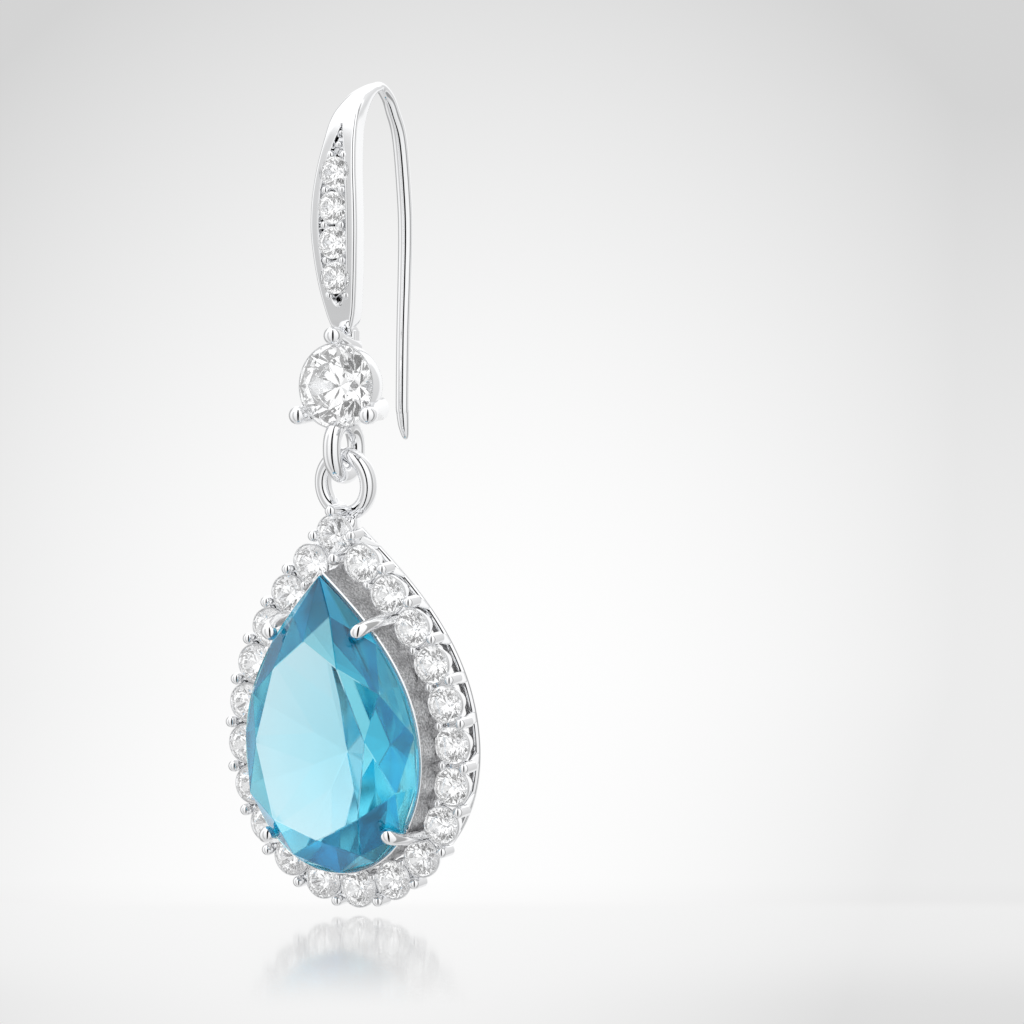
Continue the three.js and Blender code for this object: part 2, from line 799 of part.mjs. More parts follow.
function pearStoneSolid(grow = 0) {
  const half = centreWidth / 2;
  const line = pearLine(grow, outlineSteps);
  const crown = centreCrown + grow;
  const pavilion = centrePavilion + grow;
  const at = (share) => Math.round(share * outlineSteps);
  const mains = mainShares.map((share, i) => {
    const index = at(share);
    const point = line[index];
    const normal = i === 0 ? new THREE.Vector2(0, -1) : outwardAt(line, index);
    return { index, point, normal };
  });
  const culet = new THREE.Vector2(0, widestShare * centreLength);
  const table = tableRows.map(({ across, down }) => new THREE.Vector2(across * half, down * centreLength));
  const inset = (main, point) => main.normal.dot(main.point.clone().sub(point));
  const crossing = (a, b, insetA, insetB) => {
    const offsetA = a.normal.dot(a.point) - insetA;
    const offsetB = b.normal.dot(b.point) - insetB;
    const spread = a.normal.x * b.normal.y - a.normal.y * b.normal.x;
    return new THREE.Vector2(
      (offsetA * b.normal.y - offsetB * a.normal.y) / spread,
      (a.normal.x * offsetB - b.normal.x * offsetA) / spread,
    );
  };
  const between = (inner, share, i) => crossing(
    mains[i],
    mains[i + 1],
    inset(mains[i], inner[i]) * share,
    inset(mains[i + 1], inner[i + 1]) * share,
  );
  const tipSide = () => {
    const main = mains[1];
    const want = inset(main, table[1]) * tipStar.height;
    const x = tipStar.across * half;
    const y = (main.normal.dot(main.point) - want - main.normal.x * x) / main.normal.y;
    return new THREE.Vector2(x, y);
  };
  const culets = mains.map(() => culet);
  const sides = mains.slice(1).map((_, i) => i);
  const stars = sides.map((i) => (i === 0 ? tipSide() : between(table, starHeight, i)));
  const starHeights = sides.map((i) => (i === 0 ? tipStar.height : starHeight));
  const keels = sides.map((i) => between(culets, keelHeight, i));

  const positions = [];
  const index = [];
  const corner = (point, height, mirror) => {
    positions.push(point.x * mirror, -height - centreForward + haloPlane, stoneTip - point.y);
    return positions.length / 3 - 1;
  };
  const facet = (...corners) => {
    for (let i = 2; i < corners.length; i += 1) index.push(corners[0], corners[i - 1], corners[i]);
  };
  for (const mirror of [1, -1]) {
    const upper = line.slice(0, outlineSteps + 1).map((point) => corner(point, 0, mirror));
    const lower = line.slice(0, outlineSteps + 1).map((point) => corner(point, -centreGirdle, mirror));
    const top = table.map((point) => corner(point, crown, mirror));
    const star = stars.map((point, i) => corner(point, crown * starHeights[i], mirror));
    const keel = keels.map((point) => corner(point, -centreGirdle - pavilion * keelHeight, mirror));
    const foot = corner(culet, -centreGirdle - pavilion, mirror);
    const turn = (...corners) => facet(...(mirror === 1 ? corners : corners.reverse()));
    for (let i = 0; i < outlineSteps; i += 1) {
      const side = mainShares.findIndex((share) => at(share) > i) - 1;
      turn(upper[i], upper[i + 1], star[side]);
      turn(lower[i + 1], lower[i], keel[side]);
      turn(upper[i + 1], upper[i], lower[i], lower[i + 1]);
    }
    for (let i = 0; i < stars.length; i += 1) {
      turn(star[i], top[i + 1], top[i]);
      const a = upper[mains[i].index];
      const b = upper[mains[i + 1].index];
      turn(a, star[i], top[i]);
      turn(star[i], b, top[i + 1]);
      turn(lower[mains[i].index], foot, keel[i]);
      turn(keel[i], foot, lower[mains[i + 1].index]);
    }
    turn(...top);
  }
  const geometry = new THREE.BufferGeometry();
  geometry.setAttribute('position', new THREE.Float32BufferAttribute(positions, 3));
  geometry.setIndex(index);
  return solidOf(geometry);
}

function pendantFrameSolid() {
  const metal = join([
    topRing(),
    pendantNeck(),
    ...haloCups(),
    ...haloBeads(),
    ...struts(),
    backRail(),
    collet(),
    ...clawShares.flatMap((share) => [claw(share, 1), claw(share, -1)]),
  ]);
  return cut(metal, [
    ...haloLine.map((point) => seatCutter(placed(point, 0), haloStoneDiameter)),
    pearStoneSolid(stoneGap),
  ]);
}

// The parts of the earring, by name

function part(name, solid, material) {
  const mesh = new THREE.Mesh(geometryOf(solid), material);
  mesh.name = name;
  return mesh;
}

const earwire = new THREE.Group();
earwire.add(part('ear_hook', earHookSolid(), silver));
earwire.add(part('drop_stone', roundStoneSolid(basketCentre, dropStoneDiameter), clearStone));
hookStonePlaces.forEach((place, i) => {
  earwire.add(part(`hook_stone_${i + 1}`, roundStoneSolid(place, hookStoneDiameter), clearStone));
});

const pendant = new THREE.Group();
pendant.add(part('pendant_frame', pendantFrameSolid(), silver));
pendant.add(part('centre_stone', pearStoneSolid(), blueStone));
haloLine.forEach((point, i) => {
  const name = `halo_stone_${String(i + 1).padStart(2, '0')}`;
  pendant.add(part(name, roundStoneSolid(placed(point, 0), haloStoneDiameter), clearStone));
});
pendant.position.z = loopFloor + ringGap + ringWire / 2;
pendant.rotation.x = THREE.MathUtils.degToRad(hangTiltDegrees);

const earring = new THREE.Group();
earring.position.y = -crestBack;
earring.add(earwire, pendant);

export default earring;
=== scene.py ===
import json
import math

import bmesh
import bpy
import numpy as np
from mathutils import Matrix, Vector


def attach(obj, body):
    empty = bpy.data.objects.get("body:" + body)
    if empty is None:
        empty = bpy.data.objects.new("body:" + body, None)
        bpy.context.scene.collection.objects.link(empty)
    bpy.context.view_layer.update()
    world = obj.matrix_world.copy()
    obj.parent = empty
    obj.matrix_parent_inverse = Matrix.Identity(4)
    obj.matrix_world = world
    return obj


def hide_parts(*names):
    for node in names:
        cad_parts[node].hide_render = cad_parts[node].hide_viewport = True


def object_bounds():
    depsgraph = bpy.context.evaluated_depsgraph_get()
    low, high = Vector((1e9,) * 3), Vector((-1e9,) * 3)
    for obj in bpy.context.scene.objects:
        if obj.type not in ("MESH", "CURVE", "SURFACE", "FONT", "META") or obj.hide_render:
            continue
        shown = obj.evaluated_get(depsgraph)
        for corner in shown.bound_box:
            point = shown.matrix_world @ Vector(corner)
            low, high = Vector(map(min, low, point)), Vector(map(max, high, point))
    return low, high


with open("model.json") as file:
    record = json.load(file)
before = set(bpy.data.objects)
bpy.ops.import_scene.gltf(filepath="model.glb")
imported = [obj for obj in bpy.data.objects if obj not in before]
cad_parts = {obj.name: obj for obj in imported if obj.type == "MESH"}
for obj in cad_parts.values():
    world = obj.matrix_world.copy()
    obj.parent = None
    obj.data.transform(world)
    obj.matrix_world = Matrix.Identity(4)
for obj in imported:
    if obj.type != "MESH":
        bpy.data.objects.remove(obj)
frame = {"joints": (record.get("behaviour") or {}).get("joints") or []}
cad_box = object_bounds()

# Lengths are in millimetres until a mesh is made, and then in metres
MM = 0.001

# Ear wire
WIRE_DIAMETER = 0.76
CREST_THICKNESS = 0.5
CREST_BACK = 3.5
WIRE_REACH = 6.05
TAIL_DROP = 17.45
TAIL_FLARE = 0.38

# Leaf-shaped plate
PLATE_TOP = 1.75
PLATE_LENGTH = 9.95
PLATE_WIDTH = 2.77
PLATE_DEPTH = 1.6
PLATE_BOW = 1.2
PLATE_TAPER = 0.3
CORNER_SHARE = 0.32

# Channel and its stones
CHANNEL_TOP_RISE = 0.1
CHANNEL_FOOT_INSET = 0.85
CHANNEL_WIDTH = 1.65
CHANNEL_DEPTH = 0.42
CHANNEL_LINE = 0.1
HOOK_STONES = 4
HOOK_STONE_DIAMETER = 1.62
HOOK_STONE_SPACE = 0.13
FIRST_STONE_INSET = 2.5
HOOK_BEAD_DIAMETER = 0.45
HOOK_BEAD_SPREAD = 0.48
TOP_BEAD_SPREAD = 0.384

# Basket
NECK_WIDTH = 1.06
NECK_DEPTH = 0.85
BLOCK_TOP = 12.0
BLOCK_HEIGHT = 1.1
BLOCK_CHAMFER = 0.05
BLOCK_ROUNDING = 0.25
DROP_STONE_DIAMETER = 4.25
PLATE_TO_STONE = 3.1
BASKET_DEPTH = 2.1
PRONG_TURN = math.radians(126)
PRONG_DIAMETER = 0.95
PRONG_DEPTH = 2.35
PRONG_OVERHANG = 0.38
PRONG_FOOT_INSET = 0.19
PRONG_FORWARD = 0.6
PRONG_CHAMFER = 0.06
GIRDLE_FORWARD = 0.8

# Fixed loop
LOOP_WIRE = 0.9
LOOP_WIDTH = 3.3
LOOP_HEIGHT = 3.5
LOOP_SUNK = 0.72

# Ring and neck of the pendant
RING_WIDTH = 3.4
RING_HEIGHT = 3.7
RING_WIRE = 0.78
RING_DEPTH = 1
RING_BACK = 1.5
RING_ROUNDING = 0.85
HANG_TILT = math.radians(7.7)
PENDANT_NECK_WIDTH = 1.7
PENDANT_NECK_DEPTH = 0.8
PENDANT_NECK_ROUNDING = 0.5
RING_TO_HALO = 2.33

# Centre stone
CENTRE_WIDTH = 9.9
CENTRE_LENGTH = 15
CENTRE_CROWN = 1.95
CENTRE_PAVILION = 4.1
CENTRE_GIRDLE = 0.24
CENTRE_FORWARD = 1.75

# Halo
HALO_STONES = 22
HALO_STONE_DIAMETER = 1.88
HALO_GROW = 1.03
HALO_TIP_RISE = 1.8
CUP_WALL = 0.09
CUP_DEPTH = 1.15
CUP_BACK_SHARE = 0.55
CUP_HOLE_SHARE = 0.32
CUP_SEAT_SHARE = 0.93
CUP_SEAT_BACK = 0.16
CUP_GIRDLE_BACK = 0.09
CUP_LIP = 0.02
CUP_STRAIGHT = 0.12
OUTER_BEAD_DIAMETER = 0.6
OUTER_BEAD_SPREAD = 0.75
INNER_BEAD_DIAMETER = 0.5
INNER_BEAD_SPREAD = 0.5
CROWN_BEAD_DIAMETER = 0.7
CROWN_BEAD_APART = 0.4
BEAD_HEIGHT = 0.34
BEAD_STEM = 0.8

# Struts, rail, collet and claws
STRUT_WIDTH = 0.62
STRUT_DEPTH = 0.55
STRUT_INSET = 0.19
STRUT_SUNK = 0.35
STRUT_START = 0.3
STRUT_ROUNDING = 0.15
RAIL_BACK = 2.82
RAIL_HEIGHT = 0.5
RAIL_WALL = 0.5
RAIL_EDGE = 0.08
RAIL_ROUND = 0.26
COLLET_WALL = 0.36
COLLET_BACK = 2.9
COLLET_RIM_GROW = 0.05
COLLET_HALO_GROW = 0.1
COLLET_FOOT_GROW = -0.2
COLLET_SEAT = 0.32
COLLET_SEAT_SLOPE = 1.3
COLLET_LINING = 0.03
COLLET_LINE = 0.12
CLAW_DIAMETER = 0.75
CLAW_GAPS = (2, 8)
CLAW_REACH = 1.05

# Stones: sizes of the round cut as shares of the diameter, and how far up the crown and down the pavilion
# the star and keel points lie
STONE_GAP = 0.04
ROUND_CUT = {"table": 0.57, "crown": 0.16, "girdle": 0.04, "pavilion": 0.43, "star": 0.52, "keel": 0.76}
PEAR_CUT = {"star": 0.55, "keel": 0.7, "tip_star": 0.5}
TIP_STAR_WIDTH = 0.21
HOOK_STONE_TURN = 0.4
HALO_STONE_TURN = 0.3
SMALL_BEVEL = 0.008
DROP_BEVEL = 0.012
CENTRE_BEVEL = 0.03
BEVEL_ANGLE = math.radians(8)

# Smoothness of the made meshes
WIRE_SIDES = 40
RING_SIDES = 32
CUP_SIDES = 32
ROUND_SIDES = 28
BAR_SIDES = 24
BEAD_SIDES = 20
BOWL_SIDES = 64
THIN_SIDES = 8
PEAR_STEPS = 220
ROW_STEPS = 9
SHORT_ROW_STEPS = 5
CHANNEL_STEPS = 6
ROUND_STONE_STEPS = 48
PEAR_STONE_STEPS = 192
SHARP_ANGLE = math.radians(32)
ON_AXIS = 1e-6

X_AXIS = Vector((1, 0, 0))
Y_AXIS = Vector((0, 1, 0))

swing = frame["joints"][0]
pivot = Vector(swing["pos_m"]) / MM
HOOK_PLACE = Matrix.Translation((0, -CREST_BACK, 0))
PENDANT_PLACE = Matrix.Translation(pivot) @ Matrix.Rotation(HANG_TILT, 4, "X")
PLACES = {"earwire": HOOK_PLACE, "pendant": PENDANT_PLACE}


# Meshes

class Shape:
    """Closed skins gathered into one mesh, each with a material slot."""

    def __init__(self, place):
        self.place = place
        self.verts = []
        self.faces = []
        self.slots = []

    def add(self, skin, slot=0):
        verts, faces = skin
        first = len(self.verts)
        self.verts += [self.place @ v * MM for v in verts]
        self.faces += [[first + i for i in face] for face in faces]
        self.slots += slot if isinstance(slot, list) else [slot] * len(faces)

    def mesh(self, name, materials, sharp=SHARP_ANGLE):
        data = bpy.data.meshes.new(name)
        data.from_pydata(self.verts, [], self.faces)
        for material in materials:
            data.materials.append(material)
        data.polygons.foreach_set("material_index", self.slots)
        finish_shading(data, sharp)
        made = bpy.data.objects.new(name, data)
        bpy.context.scene.collection.objects.link(made)
        return made


def joined(name, place, skins):
    """Closed skins as one piece of polished metal."""
    shape = Shape(place)
    for skin in skins:
        shape.add(skin)
    return shape.mesh(name, METALS)


def finish_shading(data, sharp):
    """Faces point out and shade smoothly, except across edges sharper than the angle."""
    shaped = bmesh.new()
    shaped.from_mesh(data)
    bmesh.ops.recalc_face_normals(shaped, faces=shaped.faces)
    for face in shaped.faces:
        face.smooth = True
    for edge in shaped.edges:
        edge.smooth = len(edge.link_faces) == 2 and edge.calc_face_angle(0) < sharp
    shaped.to_mesh(data)
    shaped.free()


def loft(rings, closed=False):
    """Rings of points skinned one after another, with flat ends unless the rings close on themselves."""
    count = len(rings[0])
    verts = [point for ring in rings for point in ring]
    faces = []
    for r in range(len(rings) if closed else len(rings) - 1):
        here, after = r * count, ((r + 1) % len(rings)) * count
        for s in range(count):
            t = (s + 1) % count
            faces.append([here + s, here + t, after + t, after + s])
    if not closed:
        last = (len(rings) - 1) * count
        faces.append([s for s in reversed(range(count))])
        faces.append([last + s for s in range(count)])
    return verts, faces


def sweep(path, side, section_at, closed=False):
    """Sections carried along a flat path. Each is a list of (along side, along path x side) pairs."""
    rings = []
    for i, point in enumerate(path):
        before = path[i - 1] if closed or i else point
        after = path[(i + 1) % len(path)] if closed or i < len(path) - 1 else point
        out = (after - before).normalized().cross(side)
        rings.append([point + side * a + out * b for a, b in section_at(i)])
    return loft(rings, closed)


def round_section(a, b, sides=WIRE_SIDES, rounding=1.0, taper=0.0):
    """Rounded box of half sizes a and b: rounding 1 is an ellipse, 0 has small round corners, and taper
    narrows it where b is positive."""
    small = CORNER_SHARE * min(a, b)
    ra, rb = small + (a - small) * rounding, small + (b - small) * rounding
    section = []
    per_corner = sides // 4
    for corner in range(4):
        for i in range(per_corner):
            turn = math.pi / 2 * (corner + (i + 0.5) / per_corner)
            c, s = math.cos(turn), math.sin(turn)
            across = math.copysign(a - ra, c) + ra * c
            through = math.copysign(b - rb, s) + rb * s
            section.append((across * (1 - taper * (1 + through / b) / 2), through))
    return section


def turned(centre, profile, sides=BEAD_SIDES):
    """Solid of revolution about the front-to-back axis through centre, from (radius, back) pairs."""
    verts, faces = [], []
    rows = []
    for radius, back in profile:
        if radius < ON_AXIS:
            rows.append([len(verts)] * sides)
            verts.append(Vector((centre.x, centre.y + back, centre.z)))
            continue
        rows.append(list(range(len(verts), len(verts) + sides)))
        for k in range(sides):
            turn = 2 * math.pi * k / sides
            verts.append(Vector((
                centre.x + radius * math.cos(turn), centre.y + back, centre.z + radius * math.sin(turn),
            )))
    for here, after in zip(rows, rows[1:]):
        for k in range(sides):
            m = (k + 1) % sides
            face = [here[k], here[m], after[m], after[k]]
            faces.append([v for n, v in enumerate(face) if v not in face[:n]])
    return verts, faces


def dome(centre, diameter, stem, sides=BEAD_SIDES, rows=6):
    """A round-topped bead on a straight stem, facing the front."""
    r = diameter / 2
    profile = [(r * math.sin(t), -r * math.cos(t)) for t in np.linspace(0, math.pi / 2, rows + 1)]
    return turned(centre, profile + [(r, stem), (0, stem)], sides)


def smooth_rows(rows, steps=ROW_STEPS):
    """Catmull-Rom values between the rows of a table of numbers."""
    last = len(rows) - 1
    smooth = []
    for i in range(last * steps + 1):
        row = min(i // steps, last - 1)
        t = i / steps - row
        near = [rows[min(max(k, 0), last)] for k in (row - 1, row, row + 1, row + 2)]
        mixed = {}
        for key in rows[0]:
            p0, p1, p2, p3 = (entry[key] for entry in near)
            mixed[key] = (
                2 * p1 + (p2 - p0) * t + (2 * p0 - 5 * p1 + 4 * p2 - p3) * t ** 2
                + (3 * p1 - p0 - 3 * p2 + p3) * t ** 3
            ) / 2
        smooth.append(mixed)
    return smooth


def cut_away(target, skins):
    """Cuts closed skins, given in the target's own millimetres, out of a made object."""
    for skin in skins:
        tool_shape = Shape(HOOK_PLACE)
        tool_shape.add(skin)
        tool = tool_shape.mesh("cutter", [])
        modifier = target.modifiers.new("cut", "BOOLEAN")
        modifier.operation = "DIFFERENCE"
        modifier.solver = "EXACT"
        modifier.object = tool
        bpy.context.view_layer.update()
        evaluated = target.evaluated_get(bpy.context.evaluated_depsgraph_get())
        cut = bpy.data.meshes.new_from_object(evaluated)
        target.modifiers.remove(modifier)
        target.data = cut
        bpy.data.objects.remove(tool)


# Materials

class Tree:
    """Makes the nodes of a material or a world, fed with numbers, colours or sockets."""

    def __init__(self, owner):
        owner.use_nodes = True
        self.nodes = owner.node_tree.nodes
        self.links = owner.node_tree.links

    def node(self, kind, **settings):
        made = self.nodes.new("ShaderNode" + kind)
        for name, value in settings.items():
            setattr(made, name, value)
        return made

    def feed(self, node, inputs):
        for key, value in inputs.items():
            if isinstance(value, bpy.types.NodeSocket):
                self.links.new(value, node.inputs[key])
            else:
                node.inputs[key].default_value = value
        return node

    def calc(self, operation, *values):
        made = self.node("Math", operation=operation)
        return self.feed(made, dict(enumerate(values))).outputs["Value"]

    def vector(self, operation, *values):
        made = self.node("VectorMath", operation=operation)
        return self.feed(made, dict(enumerate(values))).outputs["Value"]

    def ramped(self, value, low, high, start=0.0, end=1.0, kind="LINEAR"):
        """Low at start, high at end, and in between them what lies between."""
        made = self.node("MapRange", interpolation_type=kind)
        return self.feed(made, {
            "Value": value, "From Min": start, "From Max": end, "To Min": low, "To Max": high,
        }).outputs["Result"]

    def noise(self, scale, detail=3.0, stretch=None):
        coords = self.node("TexCoord").outputs["Object"]
        if stretch:
            stretched = self.feed(self.node("Mapping"), {"Vector": coords, "Scale": stretch})
            coords = stretched.outputs["Vector"]
        made = self.node("TexNoise")
        return self.feed(made, {"Vector": coords, "Scale": scale, "Detail": detail}).outputs["Fac"]

    def bumped(self, value, strength, distance):
        made = self.feed(self.node("Bump"), {"Height": value, "Strength": strength, "Distance": distance})
        return made.outputs["Normal"]


def node_material(name):
    material = bpy.data.materials.new(name)
    tree = Tree(material)
    return material, tree, tree.nodes["Principled BSDF"]


def polished_metal():
    """Rhodium-bright silver with faint polishing lines."""
    material, tree, shader = node_material("polished_silver")
    lines = tree.noise(scale=5000, stretch=(1, 1, 0.12))
    tree.feed(shader, {
        "Base Color": (0.93, 0.935, 0.945, 1),
        "Metallic": 1,
        "Roughness": tree.ramped(tree.noise(scale=900), low=0.03, high=0.1),
        "Normal": tree.bumped(lines, strength=0.06, distance=0.00001),
    })
    return material


def grain_and_shade_metal():
    """Cast, unpolished silver inside the pierced work: a fine grey grain, whose dark grey is also painted
    shade inside the gallery's windows.
    """
    material, tree, shader = node_material("grain_and_painted_shade_silver")
    grain = tree.noise(scale=9000, detail=2)
    tint = tree.feed(tree.node("ValToRGB"), {"Fac": grain})
    # Dark to light grey grain: the grain is the unpolished finish, and its darkness is painted shade
    dark, light = tint.color_ramp.elements
    dark.position, dark.color = 0.35, (0.36, 0.36, 0.365, 1)
    light.position, light.color = 0.68, (0.84, 0.84, 0.85, 1)
    tree.feed(shader, {
        "Base Color": tint.outputs["Color"],
        "Metallic": 1,
        "Roughness": tree.ramped(grain, low=0.5, high=0.3),
        "Normal": tree.bumped(grain, strength=0.7, distance=0.00004),
    })
    return material


def clear_stone_material():
    """Colourless brilliant stone, with a faint painted glow of its own standing in for its sparkle."""
    material, tree, shader = node_material("clear_stone")
    tree.feed(shader, {
        "Base Color": (0.99, 0.995, 1, 1),
        "Transmission Weight": 1,
        "IOR": 2.1,
        # A faint painted glow for the sparkle
        "Emission Color": (1, 1, 1, 1),
        "Emission Strength": 0.05,
        "Roughness": tree.ramped(tree.noise(scale=700), low=0.0, high=0.012),
    })
    return material


# The blue stone's colour by the kind of facet: its blue, with painted light and shade in each kind's base
# colour, a near-white painted highlight on the table and deep painted shade on the mains
FACET_BLUE_AND_PAINTED_LIGHT = {
    "table": (1, 0.95, 1),
    "star": (0.36, 0.85, 0.97),
    "main": (0.01, 0.43, 0.7),
    "break": (0.66, 1, 1),
    "tip": (0.2, 0.85, 0.95),
    "girdle": (0.08, 0.56, 0.8),
    "lower": (0.66, 0.93, 0.98),
    "pavilion": (0.6, 0.92, 0.98),
}
FROSTED_FACETS = ("lower", "pavilion")
FROSTING = 0.15
# Strength of the painted glow on the tip facets
PAINTED_TIP_GLOW = 0.24


def blue_stone_material(kind):
    """Sky-blue stone: the blue deepens with the light's way through it. Each kind of facet has its own copy
    with painted light and shade in its base colour, and the tip facets have a painted glow.
    """
    material, tree, shader = node_material(f"blue_stone_{kind}")
    rough = FROSTING if kind in FROSTED_FACETS else 0.0
    tree.feed(shader, {
        # The base colour holds this kind of facet's painted light and shade as well as the stone's blue
        "Base Color": (*FACET_BLUE_AND_PAINTED_LIGHT[kind], 1),
        "Transmission Weight": 1,
        "IOR": 1.6,
        # Painted glow, on the tip facets only
        "Emission Color": (0, 0.52, 0.76, 1),
        "Emission Strength": PAINTED_TIP_GLOW if kind == "tip" else 0,
        "Roughness": tree.ramped(tree.noise(scale=300), low=rough, high=rough + 0.01),
    })
    depth = tree.feed(tree.node("VolumeAbsorption"), {"Color": (0.0, 0.81, 0.945, 1), "Density": 95})
    tree.feed(tree.nodes["Material Output"], {"Volume": depth.outputs["Volume"]})
    return material


silver = polished_metal()
grain_and_shade = grain_and_shade_metal()
clear_stone = clear_stone_material()
blue_stones = [blue_stone_material(kind) for kind in FACET_BLUE_AND_PAINTED_LIGHT]
METALS = [silver, grain_and_shade]
POLISHED, GRAIN_AND_SHADE = 0, 1


# Ear wire, plate and neck: the solid's rows with a crisper foot, from the neck up the front, over and down.
# Plate rows are shares of the plate's length, bow, width and depth.

PLATE_ROWS = [
    {"along": 1.12, "bow": -0.33, "width": 0.28, "depth": 0.45},
    {"along": 1.022, "bow": -0.3, "width": 0.28, "depth": 0.45},
    {"along": 1.012, "bow": -0.28, "width": 0.38, "depth": 0.76},
    {"along": 0.98, "bow": -0.22, "width": 0.51, "depth": 0.87},
    {"along": 0.92, "bow": -0.14, "width": 0.64, "depth": 0.9},
    {"along": 0.78, "bow": 0.07, "width": 0.83, "depth": 0.97},
    {"along": 0.63, "bow": 0.23, "width": 0.95, "depth": 1},
    {"along": 0.51, "bow": 0.3, "width": 1, "depth": 1},
    {"along": 0.37, "bow": 0.27, "width": 0.96, "depth": 1},
    {"along": 0.23, "bow": 0.14, "width": 0.84, "depth": 0.97},
    {"along": 0.1, "bow": -0.12, "width": 0.7, "depth": 0.93},
    {"along": 0, "bow": -0.4, "width": 0.6, "depth": 0.84},
]

# Arch rows: rise as a share of the way to the crest, back as a share of the crest's distance, width as a
# share of the wire's diameter, thickness as a share of the crest's
ARCH_ROWS = [
    {"rise": 0.33, "back": 0.26, "width": 1.95, "thickness": 2.35},
    {"rise": 0.64, "back": 0.44, "width": 1.65, "thickness": 1.85},
    {"rise": 0.885, "back": 0.69, "width": 1.25, "thickness": 1.25},
    {"rise": 0.97, "back": 0.86, "width": 1.05, "thickness": 1.05},
    {"rise": 1, "back": 1, "width": 0.92, "thickness": 1},
]

# Tail rows: down as a share of the tail's drop, back as a share of the wire's reach, width as a share of
# the wire's diameter
TAIL_ROWS = [
    {"down": 0.0115, "back": 0.702, "width": 0.88},
    {"down": 0.0516, "back": 0.785, "width": 0.95},
    {"down": 0.132, "back": 0.904, "width": 1},
    {"down": 0.304, "back": 0.983, "width": 1},
    {"down": 0.415, "back": 1, "width": 0.98},
    {"down": 0.544, "back": 0.985, "width": 0.94},
    {"down": 0.69, "back": 0.962, "width": 0.9},
    {"down": 0.888, "back": 0.948, "width": 0.88},
]
TIP_ROWS = [
    {"drop": 0.3, "flare": 0.14, "width": 0.86},
    {"drop": 0.6, "flare": 0.38, "width": 0.76},
    {"drop": 0.85, "flare": 0.74, "width": 0.54},
    {"drop": 0.96, "flare": 0.94, "width": 0.32},
    {"drop": 1, "flare": 1, "width": 0.08},
]

WIRE_RADIUS = WIRE_DIAMETER / 2
CREST_HEIGHT = CREST_THICKNESS / 2


def strip_rows():
    rows = []
    for row in PLATE_ROWS:
        rows.append({
            "back": -row["bow"] * PLATE_BOW,
            "down": PLATE_TOP + row["along"] * PLATE_LENGTH,
            "half": row["width"] * PLATE_WIDTH / 2,
            "deep": row["depth"] * PLATE_DEPTH / 2,
            "rounding": 0,
            "taper": PLATE_TAPER,
        })
    rows[0]["taper"] = 0
    for row in ARCH_ROWS:
        rows.append({
            "back": row["back"] * CREST_BACK,
            "down": PLATE_TOP - row["rise"] * (PLATE_TOP + CREST_HEIGHT),
            "half": row["width"] * WIRE_RADIUS,
            "deep": row["thickness"] * CREST_HEIGHT,
            "rounding": row["rise"],
            "taper": PLATE_TAPER * (1 - row["rise"]),
        })
    start = TAIL_ROWS[-1]
    tail = [(row["down"], row["back"] * WIRE_REACH, row["width"]) for row in TAIL_ROWS]
    tail += [
        (start["down"] + row["drop"] * (1 - start["down"]), start["back"] * WIRE_REACH
         + row["flare"] * TAIL_FLARE, row["width"])
        for row in TIP_ROWS
    ]
    for down, back, width in tail:
        rows.append({
            "back": back, "down": down * TAIL_DROP, "half": width * WIRE_RADIUS,
            "deep": width * WIRE_RADIUS, "rounding": 1, "taper": 0,
        })
    return smooth_rows(rows)


strip = strip_rows()


def plate_face(down):
    """How far back the plate's front face lies at a height below the origin."""
    after = next(i for i, row in enumerate(strip) if row["down"] <= down)
    upper, lower = strip[after], strip[after - 1]
    t = (down - upper["down"]) / (lower["down"] - upper["down"])
    face = [row["back"] - row["deep"] for row in (upper, lower)]
    return face[0] + (face[1] - face[0]) * t


# Channel rows: shares of its length from the pointed top, and of its width
CHANNEL_ROWS = [
    {"along": 0, "width": 0.05},
    {"along": 0.12, "width": 0.42},
    {"along": 0.28, "width": 0.8},
    {"along": 0.45, "width": 0.98},
    {"along": 0.6, "width": 1},
    {"along": 0.76, "width": 0.9},
    {"along": 0.9, "width": 0.6},
    {"along": 0.97, "width": 0.34},
    {"along": 1, "width": 0.08},
]
NARROWEST_SHARE = 0.04
CHANNEL_TOP = PLATE_TOP - CHANNEL_TOP_RISE
CHANNEL_LENGTH = PLATE_TOP + PLATE_LENGTH - CHANNEL_FOOT_INSET - CHANNEL_TOP
FIRST_HOOK_STONE = CHANNEL_TOP + FIRST_STONE_INSET
HOOK_STONE_PITCH = HOOK_STONE_DIAMETER + HOOK_STONE_SPACE
channel_edge = [
    {
        "down": CHANNEL_TOP + row["along"] * CHANNEL_LENGTH,
        "half": max(row["width"], NARROWEST_SHARE) * CHANNEL_WIDTH / 2,
    }
    for row in smooth_rows(CHANNEL_ROWS, CHANNEL_STEPS)
]


def channel_skin():
    rings = []
    for row in channel_edge:
        face, half, down = plate_face(row["down"]), row["half"], row["down"]
        front, floor = face - PLATE_DEPTH / 2, face + CHANNEL_DEPTH
        rings.append([
            Vector((-half, front, -down)), Vector((half, front, -down)),
            Vector((half, floor, -down)), Vector((-half, floor, -down)),
        ])
    return loft(rings)


def seat_skin(centre, diameter):
    """The room a round stone takes in its metal, open to the front."""
    radius = diameter / 2 + STONE_GAP
    crown = ROUND_CUT["crown"] * diameter
    culet = (ROUND_CUT["girdle"] + ROUND_CUT["pavilion"]) * diameter + 2 * STONE_GAP
    profile = [(0, -crown - diameter), (radius, -crown - diameter), (radius, STONE_GAP * 2), (0, culet)]
    return turned(centre, profile, CUP_SIDES)


hook_stone_places = []
for i in range(HOOK_STONES):
    down = FIRST_HOOK_STONE + i * HOOK_STONE_PITCH
    hook_stone_places.append(Vector((0, plate_face(down), -down)))


